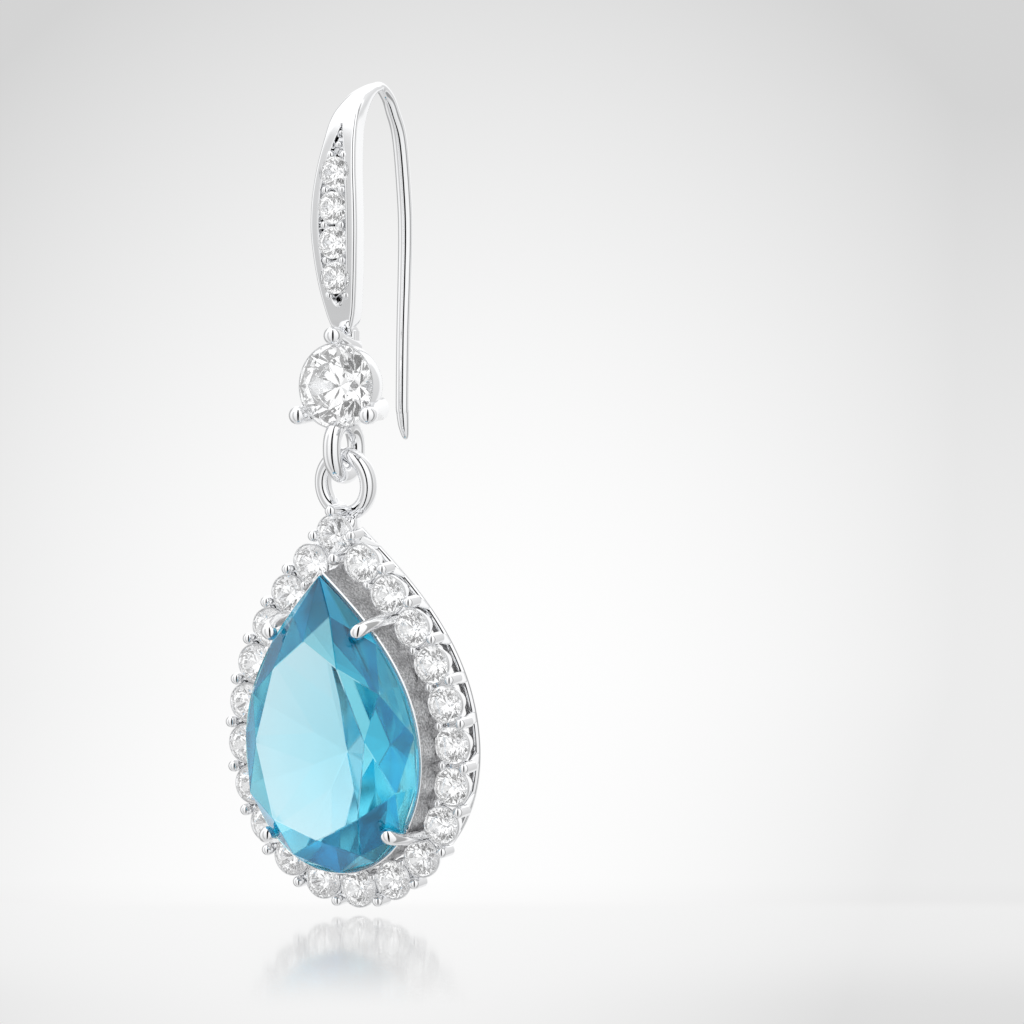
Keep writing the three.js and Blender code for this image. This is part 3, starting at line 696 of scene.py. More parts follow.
# Beads at the channel's ends: place in stone pitches below the first stone, size as a share of the others'
END_BEADS = [
    {"pitches": -0.8, "size": 0.85},
    {"pitches": -1.15, "size": 0.6},
    {"pitches": HOOK_STONES - 0.22, "size": 0.8},
]
BEAD_SUNK = 0.2
END_BEAD_SUNK = 0.25


def hook_bead_skins():
    for i in range(HOOK_STONES + 1):
        down = FIRST_HOOK_STONE + (i - 0.5) * HOOK_STONE_PITCH
        spread = HOOK_BEAD_SPREAD if i else TOP_BEAD_SPREAD
        for side in (-1, 1):
            centre = Vector((side * spread, plate_face(down) + HOOK_BEAD_DIAMETER * BEAD_SUNK, -down))
            yield dome(centre, HOOK_BEAD_DIAMETER, CHANNEL_DEPTH)
    for bead in END_BEADS:
        down = FIRST_HOOK_STONE + HOOK_STONE_PITCH * bead["pitches"]
        centre = Vector((0, plate_face(down) + HOOK_BEAD_DIAMETER * END_BEAD_SUNK, -down))
        yield dome(centre, HOOK_BEAD_DIAMETER * bead["size"], CHANNEL_DEPTH)


def channel_rim_skin():
    """A thin bright line round the channel's edge."""
    left = [Vector((-row["half"], plate_face(row["down"]), -row["down"])) for row in channel_edge]
    right = [Vector((row["half"], plate_face(row["down"]), -row["down"])) for row in channel_edge]
    path = left + right[::-1]
    section = round_section(CHANNEL_LINE / 2, CHANNEL_LINE / 2, THIN_SIDES)
    return sweep(path, Y_AXIS, lambda i: section, closed=True)


# Basket, prongs and the fixed loop

basket_centre = Vector((0, -GIRDLE_FORWARD, -PLATE_TOP - PLATE_LENGTH - PLATE_TO_STONE))
BOWL_ROWS = [
    {"radius": 1.025, "back": 0.01},
    {"radius": 1.02, "back": 0.24},
    {"radius": 0.98, "back": 0.47},
    {"radius": 0.86, "back": 0.72},
    {"radius": 0.68, "back": 0.9},
    {"radius": 0.5, "back": 1},
]


def bowl_skin():
    radius = DROP_STONE_DIAMETER / 2
    rows = smooth_rows(BOWL_ROWS, SHORT_ROW_STEPS)
    outside = [(row["radius"] * radius, row["back"] * BASKET_DEPTH) for row in rows]
    girdle = ROUND_CUT["girdle"] * DROP_STONE_DIAMETER
    culet = girdle + ROUND_CUT["pavilion"] * DROP_STONE_DIAMETER + STONE_GAP * 2
    seat = radius + STONE_GAP / 2
    inside = [(0, culet), (seat, girdle + STONE_GAP), (seat, outside[0][1])]
    return turned(basket_centre, [*inside, *outside, (0, BASKET_DEPTH)], BOWL_SIDES)


def prong_skin(turn):
    tip_reach = DROP_STONE_DIAMETER / 2 + PRONG_OVERHANG
    foot_reach = DROP_STONE_DIAMETER / 2 - PRONG_FOOT_INSET
    r = PRONG_DIAMETER / 2
    ball = -r * PRONG_FORWARD
    foot = ball - r + PRONG_DEPTH
    rows = [
        {"back": foot, "reach": foot_reach, "size": 0.6},
        {"back": foot, "reach": foot_reach, "size": 1.26},
        {"back": foot - PRONG_CHAMFER, "reach": foot_reach, "size": 1.3},
        {"back": ball + r * 1.2, "reach": (tip_reach + foot_reach) / 2, "size": 1.1},
        {"back": ball + r * 0.5, "reach": tip_reach, "size": 0.97},
    ]
    for t in np.linspace(0, 1.5, 9):
        rows.append({"back": ball - r * math.sin(t), "reach": tip_reach, "size": math.cos(t)})
    rings = []
    for row in rows:
        reach, half = row["reach"], r * row["size"]
        centre = basket_centre + Vector((reach * math.sin(turn), row["back"], reach * math.cos(turn)))
        rings.append([centre + Vector((b, 0, a)) for a, b in round_section(half, half, ROUND_SIDES)])
    return loft(rings)


LOOP_RADIUS = (LOOP_WIDTH - LOOP_WIRE) / 2
LOOP_STRAIGHT = LOOP_HEIGHT - LOOP_WIDTH
loop_top = basket_centre.z - DROP_STONE_DIAMETER / 2 + LOOP_SUNK
loop_low = loop_top - LOOP_WIRE / 2 - LOOP_RADIUS - LOOP_STRAIGHT


def loop_skin(steps=36):
    path = []
    for end, height in ((0, loop_low + LOOP_STRAIGHT), (math.pi, loop_low)):
        for turn in np.linspace(end, end + math.pi, steps):
            path.append(Vector((0, LOOP_RADIUS * math.cos(turn), height + LOOP_RADIUS * math.sin(turn))))
    section = round_section(LOOP_WIRE / 2, LOOP_WIRE / 2, ROUND_SIDES)
    return sweep(path, X_AXIS, lambda i: section, closed=True)


def neck_block_skin():
    """The small block between the plate's foot and the basket."""
    back = -PLATE_ROWS[0]["bow"] * PLATE_BOW
    rings = []
    for down, inset in ((0, BLOCK_CHAMFER), (BLOCK_CHAMFER, 0), (BLOCK_HEIGHT, 0)):
        section = round_section(
            NECK_WIDTH / 2 - inset, NECK_DEPTH / 2 - inset, BAR_SIDES, BLOCK_ROUNDING,
        )
        rings.append([Vector((a, back + b, -BLOCK_TOP - down)) for a, b in section])
    return loft(rings)


def make_ear_hook():
    path = [Vector((0, row["back"], -row["down"])) for row in strip]
    wire = sweep(path, X_AXIS, lambda i: round_section(
        strip[i]["half"], strip[i]["deep"], WIRE_SIDES, strip[i]["rounding"], strip[i]["taper"],
    ))
    hook = joined("hook_strip", HOOK_PLACE, [wire])
    cut_away(hook, [channel_skin(), *(seat_skin(p, HOOK_STONE_DIAMETER) for p in hook_stone_places)])
    finish_shading(hook.data, SHARP_ANGLE)
    prongs = [prong_skin(turn) for turn in (0, PRONG_TURN, -PRONG_TURN)]
    return [
        hook,
        joined("hook_beads", HOOK_PLACE, [*hook_bead_skins(), channel_rim_skin()]),
        joined("hook_basket", HOOK_PLACE, [bowl_skin(), neck_block_skin(), *prongs]),
        joined("hook_loop", HOOK_PLACE, [loop_skin()]),
    ]


# Cut stones. Points in plan are (x, down) and heights are towards the front.

def cut_stone(outline, mains, table, culet, heights, tip_star=None):
    """A brilliant cut over a closed outline. mains are outline indices of the eight main facets, table the
    eight corners over them. Neighbouring main facets lean in from the outline's tangents and meet in true
    lines, where the star and keel points lie."""
    crown, girdle, pavilion, star_share, keel_share = heights
    count = len(outline)
    normals = []
    for index in mains:
        run = outline[(index + 1) % count] - outline[index - 1]
        normals.append(Vector((run.y, -run.x)).normalized())

    def inset(k, point):
        return normals[k].dot(outline[mains[k]] - point)

    def crossing(k, m, inset_k, inset_m):
        a, b = normals[k], normals[m]
        pa = a.dot(outline[mains[k]]) - inset_k
        pb = b.dot(outline[mains[m]]) - inset_m
        spread = a.x * b.y - a.y * b.x
        return Vector(((pa * b.y - pb * a.y) / spread, (a.x * pb - b.x * pa) / spread))

    eights = range(8)
    stars, keels = [], []
    for k in eights:
        m = (k + 1) % 8
        stars.append(crossing(k, m, inset(k, table[k]) * star_share, inset(m, table[m]) * star_share))
        keels.append(crossing(k, m, inset(k, culet) * keel_share, inset(m, culet) * keel_share))
    star_heights = [crown * star_share] * 8
    if tip_star:
        stars[0], stars[7] = tip_star(inset, normals, outline, mains)
        star_heights[0] = star_heights[7] = crown * PEAR_CUT["tip_star"]

    verts, faces, kinds = [], [], []

    def facet(kind, *corners):
        faces.append(list(corners))
        kinds.append(kind)

    def corner(point, height):
        verts.append(Vector((point.x, -height, -point.y)))
        return len(verts) - 1

    upper = [corner(point, 0) for point in outline]
    lower = [corner(point, -girdle) for point in outline]
    top = [corner(point, crown) for point in table]
    star = [corner(point, height) for point, height in zip(stars, star_heights)]
    keel = [corner(point, -girdle - pavilion * keel_share) for point in keels]
    foot = corner(culet, -girdle - pavilion)
    for i in range(count):
        j = (i + 1) % count
        facet("girdle", upper[j], upper[i], lower[i], lower[j])
    for k in eights:
        m = (k + 1) % 8
        start, end = mains[k], mains[m] if mains[m] > mains[k] else mains[m] + count
        middle = (start + end) // 2
        for first, last in ((start, middle), (middle, end)):
            run = [n % count for n in range(first, last + 1)]
            facet("tip" if tip_star and k in (0, 7) else "break", star[k], *[upper[n] for n in run])
            facet("lower", keel[k], *[lower[n] for n in reversed(run)])
        facet("star", star[k], top[m], top[k])
        flat_tip = tip_star and k == 0
        if flat_tip:
            facet("main", top[0], upper[mains[0]], star[0])
            facet("main", top[0], star[7], upper[mains[0]])
        else:
            facet("main", top[k], star[k - 1], upper[mains[k]], star[k])
        facet("pavilion", foot, keel[k], lower[mains[k]], keel[k - 1])
    facet("table", *top)
    return verts, faces, kinds


def brilliant_skin(centre, diameter, turn=0.0):
    """Round brilliant with its girdle's front edge at centre."""
    steps = ROUND_STONE_STEPS
    radius = diameter / 2
    outline = [
        Vector((math.sin(a), -math.cos(a))) * radius
        for a in (turn + 2 * math.pi * i / steps for i in range(steps))
    ]
    mains = [steps // 8 * k for k in range(8)]
    table = [outline[index] * ROUND_CUT["table"] for index in mains]
    heights = [ROUND_CUT[part] * diameter for part in ("crown", "girdle", "pavilion")]
    heights += [ROUND_CUT["star"], ROUND_CUT["keel"]]
    verts, faces, kinds = cut_stone(outline, mains, table, Vector((0, 0)), heights)
    return [centre + v for v in verts], faces, [0] * len(kinds)


def make_stone(name, node, body, skin, materials, bevel):
    verts, faces, slots = skin
    shape = Shape(PLACES[body])
    shape.add((verts, faces), slots)
    stone = shape.mesh(name, materials, 0)
    for face in stone.data.polygons:
        face.use_smooth = False
    edge = stone.modifiers.new("polished_edges", "BEVEL")
    edge.width = bevel * MM
    edge.segments = 1
    edge.limit_method = "ANGLE"
    edge.angle_limit = BEVEL_ANGLE
    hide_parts(node)
    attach(stone, body)


def make_round_stone(name, node, body, centre, diameter, turn=0.0, bevel=SMALL_BEVEL):
    skin = brilliant_skin(centre, diameter, turn)
    make_stone(name, node, body, skin, [clear_stone], bevel)


# Pendant, in its own frame: the swing axis is at the origin and the tilt is left out

RING_HALF_WIDTH = (RING_WIDTH - RING_WIRE) / 2
RING_HALF_HEIGHT = (RING_HEIGHT - RING_WIRE) / 2
HALO_TOP = -(RING_HALF_HEIGHT + RING_TO_HALO)
STONE_TIP = HALO_TOP - HALO_GROW * HALO_TIP_RISE
WIDEST_SHARE = 0.607
SHOULDER_SHARE = 0.333
TIP_HANDLE_SHARE = 0.16
TIP_HANDLE_WIDTH = 0.485
PEAR_FINE = 600


def pear_fine(grow):
    """Closely spaced points of the pear outline's right side, from the tip to the bottom."""
    half = CENTRE_WIDTH / 2 + grow
    top = -grow * HALO_TIP_RISE
    length = CENTRE_LENGTH + grow - top
    widest = top + WIDEST_SHARE * length
    handles = [
        Vector((0, top)),
        Vector((TIP_HANDLE_WIDTH * half, top + TIP_HANDLE_SHARE * length)),
        Vector((half, top + SHOULDER_SHARE * length)),
        Vector((half, widest)),
    ]
    points = []
    for t in np.linspace(0, 1, PEAR_FINE):
        u = 1 - t
        weights = (u ** 3, 3 * u * u * t, 3 * u * t * t, t ** 3)
        points.append(sum((h * w for h, w in zip(handles, weights)), Vector((0, 0))))
    for turn in np.linspace(0, math.pi / 2, PEAR_FINE)[1:]:
        points.append(Vector((half * math.cos(turn), widest + (top + length - widest) * math.sin(turn))))
    return points


def pear_line(grow, steps, offset=0.0):
    """The outline grown outwards, evenly stepped from the tip round the right side and back up the left."""
    fine = pear_fine(grow)
    lengths = np.cumsum([0] + [(b - a).length for a, b in zip(fine, fine[1:])])
    half = steps // 2
    wanted = [(i + offset) / half * lengths[-1] for i in range(half + (0 if offset else 1))]
    xs = np.interp(wanted, lengths, [p.x for p in fine])
    ys = np.interp(wanted, lengths, [p.y for p in fine])
    right = [Vector((float(x), float(y))) for x, y in zip(xs, ys)]
    mirrored = right if offset else right[1:-1]
    return right + [Vector((-p.x, p.y)) for p in reversed(mirrored)]


def placed(point, back):
    """A place in the pendant from (x, below the centre stone's tip) and the distance behind the halo."""
    return Vector((point.x, back - RING_BACK, STONE_TIP - point.y))


def outward_at(line, i):
    run = line[(i + 1) % len(line)] - line[i - 1]
    return Vector((run.y, -run.x)).normalized()


halo_line = pear_line(HALO_GROW, HALO_STONES)
gap_line = pear_line(HALO_GROW, HALO_STONES, 0.5)


def pear_band(section):
    """A closed band along the pear outline, from (growth, back) pairs."""
    lines = [[placed(p, back) for p in pear_line(grow, PEAR_STEPS)] for grow, back in section]
    return loft([[line[i] for line in lines] for i in range(PEAR_STEPS)], closed=True)


def cup_skin(point):
    """One seat of the halo: a cup with a thin bright lip and a conical hole behind the stone."""
    radius = HALO_STONE_DIAMETER / 2
    wall = radius + CUP_WALL
    hole = radius * CUP_HOLE_SHARE
    profile = [
        (hole, CUP_DEPTH),
        (radius * CUP_SEAT_SHARE, CUP_SEAT_BACK),
        (radius + CUP_LIP, CUP_GIRDLE_BACK),
        (radius + CUP_LIP * 1.5, -CUP_LIP),
        (wall - CUP_LIP, -CUP_LIP),
        (wall, CUP_LIP),
        (wall, CUP_STRAIGHT),
        (wall * CUP_BACK_SHARE, CUP_DEPTH),
        (hole, CUP_DEPTH),
    ]
    return turned(placed(point, 0), profile, CUP_SIDES)


def strut_skin(i):
    """A flat bar with softened edges from the halo's outer bead back to the rail."""
    point, outward = gap_line[i], outward_at(gap_line, i)
    front = placed(point + outward * (OUTER_BEAD_SPREAD - STRUT_INSET), CUP_DEPTH * STRUT_START)
    back = placed(point - outward * STRUT_SUNK, RAIL_BACK)
    across = Vector((outward.y, 0, outward.x))
    out = (back - front).normalized().cross(across)
    section = round_section(STRUT_WIDTH / 2, STRUT_DEPTH / 2, BAR_SIDES, STRUT_ROUNDING)
    return loft([[centre + across * a + out * b for a, b in section] for centre in (front, back)])


# Claw rows: out as a share of the halo's growth, forward as a share of the claw's height, size as a share
# of its diameter
CLAW_ROWS = [
    {"out": 0.485, "forward": -0.32, "size": 0.88},
    {"out": 0.447, "forward": 0.15, "size": 0.88},
    {"out": 0.33, "forward": 0.55, "size": 0.88},
    {"out": 0.12, "forward": 0.83, "size": 0.92},
    {"out": -0.1, "forward": 0.945, "size": 1.02},
    {"out": -0.26, "forward": 0.94, "size": 1},
    {"out": -0.38, "forward": 0.905, "size": 0.8},
    {"out": -0.43, "forward": 0.885, "size": 0.55},
    {"out": -0.46, "forward": 0.87, "size": 0.1},
]


def claw_skin(gap_index, mirror):
    gap, outward = gap_line[gap_index].copy(), outward_at(gap_line, gap_index)
    gap.x *= mirror
    outward.x *= mirror
    height = CENTRE_FORWARD + CLAW_REACH
    rows = smooth_rows(CLAW_ROWS, SHORT_ROW_STEPS)
    path = [placed(gap + outward * (row["out"] - 1) * HALO_GROW, -row["forward"] * height) for row in rows]
    across = Vector((outward.y, 0, outward.x))

    def section_at(i):
        r = CLAW_DIAMETER / 2 * rows[i]["size"]
        return round_section(r, r, ROUND_SIDES)

    return sweep(path, across, section_at)


def ring_skin(steps=72):
    path = []
    for turn in np.linspace(0, 2 * math.pi, steps, endpoint=False):
        path.append(Vector((RING_HALF_WIDTH * math.sin(turn), 0, RING_HALF_HEIGHT * (math.cos(turn) - 1))))
    section = round_section(RING_DEPTH / 2, RING_WIRE / 2, RING_SIDES, RING_ROUNDING)
    return sweep(path, Y_AXIS, lambda i: section, closed=True)


def pendant_neck_skin():
    foot = -2 * RING_HALF_HEIGHT
    halo = HALO_TOP + HALO_STONE_DIAMETER * 0.1
    rows = smooth_rows([
        {"up": foot + RING_WIRE * 0.1, "back": 0, "width": 0.62, "depth": 0.8},
        {"up": foot - RING_WIRE * 0.5, "back": -0.1, "width": 0.85, "depth": 0.95},
        {"up": (foot + HALO_TOP) / 2, "back": -0.4, "width": 1, "depth": 1},
        {"up": halo, "back": -0.6, "width": 0.95, "depth": 0.9},
    ], SHORT_ROW_STEPS)
    path = [Vector((0, row["back"] * RING_BACK, row["up"])) for row in rows]

    def section_at(i):
        half, deep = (rows[i]["width"] * PENDANT_NECK_WIDTH / 2, rows[i]["depth"] * PENDANT_NECK_DEPTH / 2)
        return round_section(half, deep, ROUND_SIDES, PENDANT_NECK_ROUNDING)

    return sweep(path, X_AXIS, section_at)


def halo_bead_skins():
    for i, point in enumerate(gap_line):
        outward = outward_at(gap_line, i)
        outer = point + outward * OUTER_BEAD_SPREAD
        yield dome(placed(outer, -BEAD_HEIGHT / 2), OUTER_BEAD_DIAMETER, BEAD_STEM)
        if 0 < i < len(gap_line) - 1:
            inner = point - outward * INNER_BEAD_SPREAD
            yield dome(placed(inner, -BEAD_HEIGHT / 2), INNER_BEAD_DIAMETER, BEAD_STEM)
    top = halo_line[0]
    above = Vector((0, top.y - HALO_STONE_DIAMETER / 2 - OUTER_BEAD_DIAMETER * CROWN_BEAD_APART))
    below = Vector((0, top.y + HALO_STONE_DIAMETER / 2 + CROWN_BEAD_DIAMETER * CROWN_BEAD_APART))
    yield dome(placed(above, -BEAD_HEIGHT / 2), OUTER_BEAD_DIAMETER, CUP_DEPTH)
    yield dome(placed(below, -BEAD_HEIGHT / 2), CROWN_BEAD_DIAMETER, CUP_DEPTH)


def rail_skin():
    outside, inside = HALO_GROW, HALO_GROW - RAIL_WALL
    low, high = RAIL_BACK - RAIL_HEIGHT / 2, RAIL_BACK + RAIL_HEIGHT / 2
    soft, full = RAIL_EDGE, RAIL_ROUND
    section = [
        (outside - full, low), (inside + soft, low), (inside, low + soft), (inside, high - soft),
        (inside + soft, high), (outside - soft * 2.5, high), (outside - soft, high - soft * 1.5),
    ]
    for turn in np.linspace(math.pi / 2, 0.25, 6):
        section.append((outside - full * (1 - math.sin(turn)), low + full * (1 - math.cos(turn))))
    # The faces that look into the gallery take the grain metal with its painted shade
    faces_inside = 4
    slots = [GRAIN_AND_SHADE if s < faces_inside else POLISHED for s in range(len(section))] * PEAR_STEPS
    return pear_band(section), slots


def collet_skins():
    """The wall under the centre stone's girdle, its polished inside, and the bright rim along its front."""
    rim_back = CENTRE_GIRDLE + STONE_GAP - CENTRE_FORWARD
    seat = COLLET_RIM_GROW - COLLET_SEAT
    seat_back = rim_back + COLLET_SEAT * COLLET_SEAT_SLOPE
    foot = COLLET_FOOT_GROW - COLLET_WALL
    skin = COLLET_LINING
    wall = pear_band([
        (COLLET_RIM_GROW, rim_back + skin),
        (seat, seat_back),
        (foot, COLLET_BACK),
        (COLLET_FOOT_GROW, COLLET_BACK),
        (COLLET_HALO_GROW, CUP_DEPTH / 2),
    ])
    lining = pear_band([
        (seat, seat_back), (seat - skin, seat_back + skin), (foot - skin, COLLET_BACK),
        (foot, COLLET_BACK + skin),
    ])
    r = COLLET_LINE / 2
    line = pear_band([
        (COLLET_RIM_GROW + r * math.cos(turn), rim_back + r + r * math.sin(turn))
        for turn in np.linspace(0, 2 * math.pi, THIN_SIDES, endpoint=False)
    ])
    return wall, lining, line


def make_pendant_frame():
    gallery = Shape(PENDANT_PLACE)
    for point in halo_line:
        gallery.add(cup_skin(point))
    for i in range(len(gap_line)):
        gallery.add(strut_skin(i))
    gallery.add(*rail_skin())
    wall, lining, line = collet_skins()
    collet = Shape(PENDANT_PLACE)
    # The collet's outer wall takes the grain metal with its painted shade
    collet.add(wall, GRAIN_AND_SHADE)
    collet.add(lining)
    collet.add(line)
    claws = [claw_skin(gap_index, mirror) for gap_index in CLAW_GAPS for mirror in (1, -1)]
    return [
        gallery.mesh("halo_gallery", METALS),
        joined("halo_beads", PENDANT_PLACE, halo_bead_skins()),
        joined("pendant_ring", PENDANT_PLACE, [ring_skin(), pendant_neck_skin()]),
        collet.mesh("centre_collet", METALS),
        joined("centre_claws", PENDANT_PLACE, claws),
    ]


MAIN_SHARES = (0, 0.235, 0.5, 0.77, 1)
TABLE_ROWS = [
    {"across": 0, "down": 0.203},
    {"across": 0.37, "down": 0.293},
    {"across": 0.636, "down": 0.54},
    {"across": 0.495, "down": 0.8},
    {"across": 0, "down": 0.87},
]


def tip_stars(inset, normals, outline, mains):
    """The two points beside the tip's folded facet, on the next facets' planes."""
    want = inset(1, pear_table[1]) * PEAR_CUT["tip_star"]
    x = TIP_STAR_WIDTH * CENTRE_WIDTH / 2
    y = (normals[1].dot(outline[mains[1]]) - want - normals[1].x * x) / normals[1].y
    return Vector((x, y)), Vector((-x, y))


right_table = [
    Vector((row["across"] * CENTRE_WIDTH / 2, row["down"] * CENTRE_LENGTH)) for row in TABLE_ROWS
]
pear_table = right_table + [Vector((-p.x, p.y)) for p in reversed(right_table[1:-1])]


def centre_stone_skin():
    steps = PEAR_STONE_STEPS
    outline = pear_line(0, steps)
    right = [round(share * steps / 2) for share in MAIN_SHARES]
    mains = right + [steps - index for index in reversed(right[1:-1])]
    culet = Vector((0, WIDEST_SHARE * CENTRE_LENGTH))
    heights = (CENTRE_CROWN, CENTRE_GIRDLE, CENTRE_PAVILION, PEAR_CUT["star"], PEAR_CUT["keel"])
    verts, faces, kinds = cut_stone(outline, mains, pear_table, culet, heights, tip_stars)
    shift = Vector((0, -CENTRE_FORWARD - RING_BACK, STONE_TIP))
    order = list(FACET_BLUE_AND_PAINTED_LIGHT)
    return [v + shift for v in verts], faces, [order.index(kind) for kind in kinds]


# Put the earring together

for piece in make_ear_hook():
    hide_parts("ear_hook")
    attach(piece, "earwire")
for piece in make_pendant_frame():
    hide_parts("pendant_frame")
    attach(piece, "pendant")

make_round_stone(
    "round_stone", "drop_stone", "earwire", basket_centre, DROP_STONE_DIAMETER, bevel=DROP_BEVEL,
)
for i, place in enumerate(hook_stone_places):
    make_round_stone(
        f"plate_stone_{i + 1}", f"hook_stone_{i + 1}", "earwire", place, HOOK_STONE_DIAMETER,
        HOOK_STONE_TURN * i,
    )
for i, point in enumerate(halo_line):
    number = f"{i + 1:02d}"
    make_round_stone(
        f"halo_brilliant_{number}", f"halo_stone_{number}", "pendant", placed(point, 0),
        HALO_STONE_DIAMETER, HALO_STONE_TURN * i,
    )
make_stone(
    "pear_stone", "centre_stone", "pendant", centre_stone_skin(), blue_stones, CENTRE_BEVEL,
)


# Stage: a round pale sweep, seen by the camera only, so that the metal mirrors the studio light

CAMERA_AZIMUTH = 30
CAMERA_DISTANCE = 600
FLOOR_Z = (cad_box[0].z / MM - 0.2) * MM
SWEEP_RADIUS = 1.1
SWEEP_CURVE = 0.3
SWEEP_HEIGHT = 1.2
SWEEP_STEPS = 16
SWEEP_SIDES = 96

# Glow of the sweep: how it falls off to the sides, to the top and towards the camera, in metres
HALF_VIEW = 0.0417
SIDE_FALL = 0.16
TOP_HEIGHT = 0.093
TOP_FALL = 0.263
TOP_CURVE = 1.64
NEAR_START = 0.65
NEAR_FALL = 0.6
DIMMEST = 0.66

# The floor mirrors the earring faintly, and less with the distance from the origin over it
MIRROR_SHARE = 0.55
MIRROR_FULL = 0.06
MIRROR_END = 0.13
MIRROR_BEHIND = 0.02
MIRROR_TINT = 0.9
FLOOR_IOR = 1.45
FLOOR_ROUGHNESS = 0.05


def make_stage():
    profile = [(0, 0), (SWEEP_RADIUS - SWEEP_CURVE, 0)]
    for turn in np.linspace(0, math.pi / 2, SWEEP_STEPS):
        profile.append((
            SWEEP_RADIUS - SWEEP_CURVE + SWEEP_CURVE * math.sin(turn), SWEEP_CURVE * (1 - math.cos(turn)),
        ))
    profile.append((SWEEP_RADIUS, SWEEP_HEIGHT))
    sides = SWEEP_SIDES
    verts = [(0, 0, FLOOR_Z)]
    faces = []
    for radius, height in profile[1:]:
        for k in range(sides):
            turn = 2 * math.pi * k / sides
            verts.append((radius * math.cos(turn), radius * math.sin(turn), FLOOR_Z + height))
    for k in range(sides):
        m = (k + 1) % sides
        faces.append((0, 1 + k, 1 + m))
        for row in range(len(profile) - 2):
            here, after = 1 + row * sides, 1 + (row + 1) * sides
            faces.append((here + k, after + k, after + m, here + m))
    data = bpy.data.meshes.new("stage_sweep")
    data.from_pydata(verts, [], faces)
    data.polygons.foreach_set("use_smooth", [True] * len(faces))
    sweep_object = bpy.data.objects.new("stage_sweep", data)
    bpy.context.scene.collection.objects.link(sweep_object)
    sweep_object.visible_glossy = False
    sweep_object.visible_transmission = False
    sweep_object.visible_diffuse = False
    sweep_object.visible_shadow = False
    data.materials.append(stage_material())


def stage_material():
    """The glow of the sweep, and the mirror of its floor."""
    material, tree, shader = node_material("stage_white")
    calc = tree.calc
    place = tree.node("NewGeometry").outputs["Position"]
    turn = math.radians(CAMERA_AZIMUTH)
    sideways = tree.vector("DOT_PRODUCT", place, (math.cos(turn), math.sin(turn), 0))
    away = tree.vector("DOT_PRODUCT", place, (-math.sin(turn), math.cos(turn), 0))
    distance = CAMERA_DISTANCE * MM
    reach = calc("MAXIMUM", calc("ADD", away, distance), calc("SUBTRACT", distance / 2, away))
    aside = calc("DIVIDE", calc("DIVIDE", sideways, reach), HALF_VIEW)
    side_fall = calc("MINIMUM", calc("MULTIPLY", calc("MULTIPLY", aside, aside), SIDE_FALL), SIDE_FALL)
    up = tree.feed(tree.node("SeparateXYZ"), {"Vector": place}).outputs["Z"]
    height = calc("MAXIMUM", calc("SUBTRACT", up, FLOOR_Z), 0)
    top_fall = calc("MULTIPLY", calc("POWER", calc("DIVIDE", height, TOP_HEIGHT), TOP_CURVE), TOP_FALL)
    near_fall = calc("MULTIPLY", calc("MAXIMUM", calc("SUBTRACT", NEAR_START, reach), 0), NEAR_FALL)
    fallen = calc("ADD", calc("ADD", side_fall, top_fall), near_fall)
    glow = tree.feed(tree.node("Emission"), {
        "Strength": calc("MAXIMUM", calc("SUBTRACT", 1, fallen), DIMMEST),
    })
    gloss = tree.feed(tree.node("BsdfGlossy"), {
        "Roughness": FLOOR_ROUGHNESS, "Color": (MIRROR_TINT, MIRROR_TINT, MIRROR_TINT, 1),
    })
    spread = tree.vector("LENGTH", place)
    nearness = tree.ramped(spread, MIRROR_SHARE, 0, MIRROR_FULL, MIRROR_END, "SMOOTHSTEP")
    in_front = tree.ramped(away, 0, 1, MIRROR_BEHIND, 0, "SMOOTHSTEP")
    grazing = tree.feed(tree.node("Fresnel"), {"IOR": FLOOR_IOR}).outputs["Fac"]
    mix = tree.feed(tree.node("MixShader"), {
        "Fac": calc("MULTIPLY", calc("MULTIPLY", nearness, in_front), grazing),
        1: glow.outputs["Emission"],
        2: gloss.outputs["BSDF"],
    })
    tree.nodes.remove(shader)
    tree.feed(tree.nodes["Material Output"], {"Surface": mix.outputs["Shader"]})
    return material


# Studio light: a bright tent with a few dark cards, as directions round the object.
# Azimuth is measured like the camera's, from the front towards +X.

CARDS = [
    {"azimuth": 31, "half_width": 12, "low": -75, "high": 72, "dark": 0.0},
    {"azimuth": -34, "half_width": 13, "low": -60, "high": 34, "dark": 0.66},
    {"azimuth": 116, "half_width": 13, "low": -60, "high": 60, "dark": 0.4},
    {"azimuth": 150, "half_width": 14, "low": -60, "high": 60, "dark": 0.74},
    {"azimuth": -108, "half_width": 24, "low": -45, "high": 36, "dark": 0.5},
]
CARD_SOFTNESS = math.radians(3)

# Brightness of the tent, which grows from the lower elevation to the higher one
SKY_BRIGHTNESS = (0.72, 1.3)
SKY_ELEVATIONS = (-1.2, 1.3)


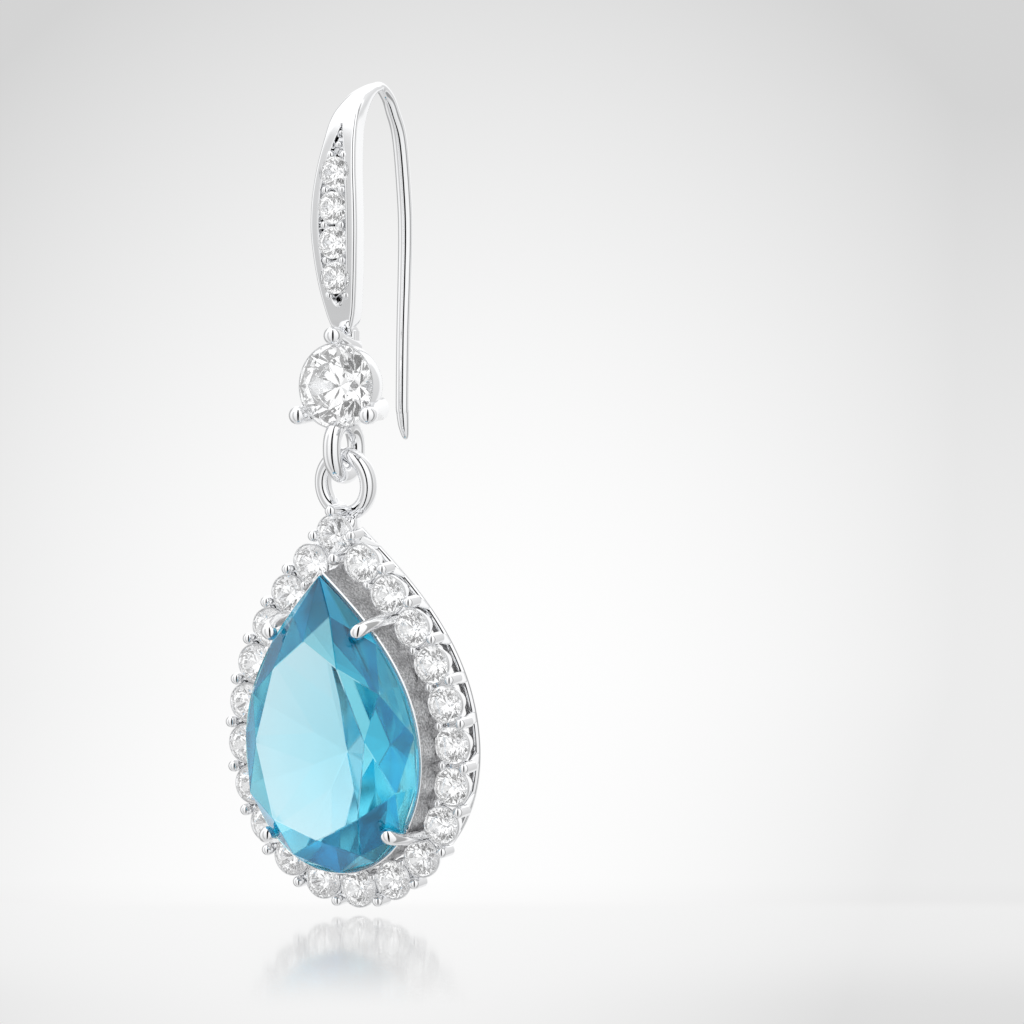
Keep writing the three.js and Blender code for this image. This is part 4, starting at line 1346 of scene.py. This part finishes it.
def make_light():
    world = bpy.data.worlds.new("studio")
    bpy.context.scene.world = world
    tree = Tree(world)
    calc = tree.calc

    def step(value, start, end):
        return tree.ramped(value, 0, 1, start, end, "SMOOTHSTEP")

    direction = tree.node("TexCoord").outputs["Generated"]
    parts = tree.feed(tree.node("SeparateXYZ"), {"Vector": direction}).outputs
    azimuth = calc("ARCTAN2", parts["X"], calc("MULTIPLY", parts["Y"], -1))
    elevation = calc("ARCSINE", parts["Z"])
    light = tree.ramped(elevation, *SKY_BRIGHTNESS, *SKY_ELEVATIONS)
    soft = CARD_SOFTNESS
    softer = 4 * soft
    for card in CARDS:
        middle, half, low, high = (
            math.radians(card[key]) for key in ("azimuth", "half_width", "low", "high")
        )
        across = calc("ABSOLUTE", calc("WRAP", calc("SUBTRACT", azimuth, middle), math.pi, -math.pi))
        outside = step(across, half - soft, half + soft)
        above = step(elevation, high - soft, high + softer)
        below = calc("SUBTRACT", 1, step(elevation, low - softer, low + soft))
        clear = calc("MAXIMUM", calc("MAXIMUM", outside, above), below)
        dimmed = calc("ADD", calc("MULTIPLY", clear, 1 - card["dark"]), card["dark"])
        light = calc("MULTIPLY", light, dimmed)
    tree.feed(tree.nodes["Background"], {"Color": (1, 1, 1, 1), "Strength": light})


# Camera: the photo's view, from straight ahead turned towards the object's right, with a long lens

IMAGE_SIZE = 1024
PIXELS_PER_MM = 20
SENSOR = 36
PHOTO_LOOP_X = 344
PHOTO_ORIGIN_Y = 90


def make_camera():
    turn = math.radians(CAMERA_AZIMUTH)
    right = Vector((math.cos(turn), math.sin(turn), 0))
    back = Vector((math.sin(turn), -math.cos(turn), 0))
    middle = IMAGE_SIZE / 2
    loop = Vector((0, -CREST_BACK, 0))
    target = loop + right * (middle - PHOTO_LOOP_X) / PIXELS_PER_MM
    target.z = (PHOTO_ORIGIN_Y - middle) / PIXELS_PER_MM
    data = bpy.data.cameras.new("camera")
    camera = bpy.data.objects.new("camera", data)
    bpy.context.scene.collection.objects.link(camera)
    data.sensor_width = SENSOR
    data.lens = SENSOR * CAMERA_DISTANCE * PIXELS_PER_MM / IMAGE_SIZE
    data.clip_start = 0.01
    data.clip_end = 10
    camera.location = (target + back * CAMERA_DISTANCE) * MM
    camera.rotation_mode = "QUATERNION"
    camera.rotation_quaternion = back.to_track_quat("Z", "Y")
    bpy.context.scene.camera = camera


make_stage()
make_light()
make_camera()
scene = bpy.context.scene
scene.view_settings.view_transform = "Standard"
scene.cycles.max_bounces = 16
scene.cycles.transmission_bounces = 14
scene.cycles.glossy_bounces = 6
scene.cycles.caustics_reflective = False
scene.cycles.sample_clamp_indirect = 6
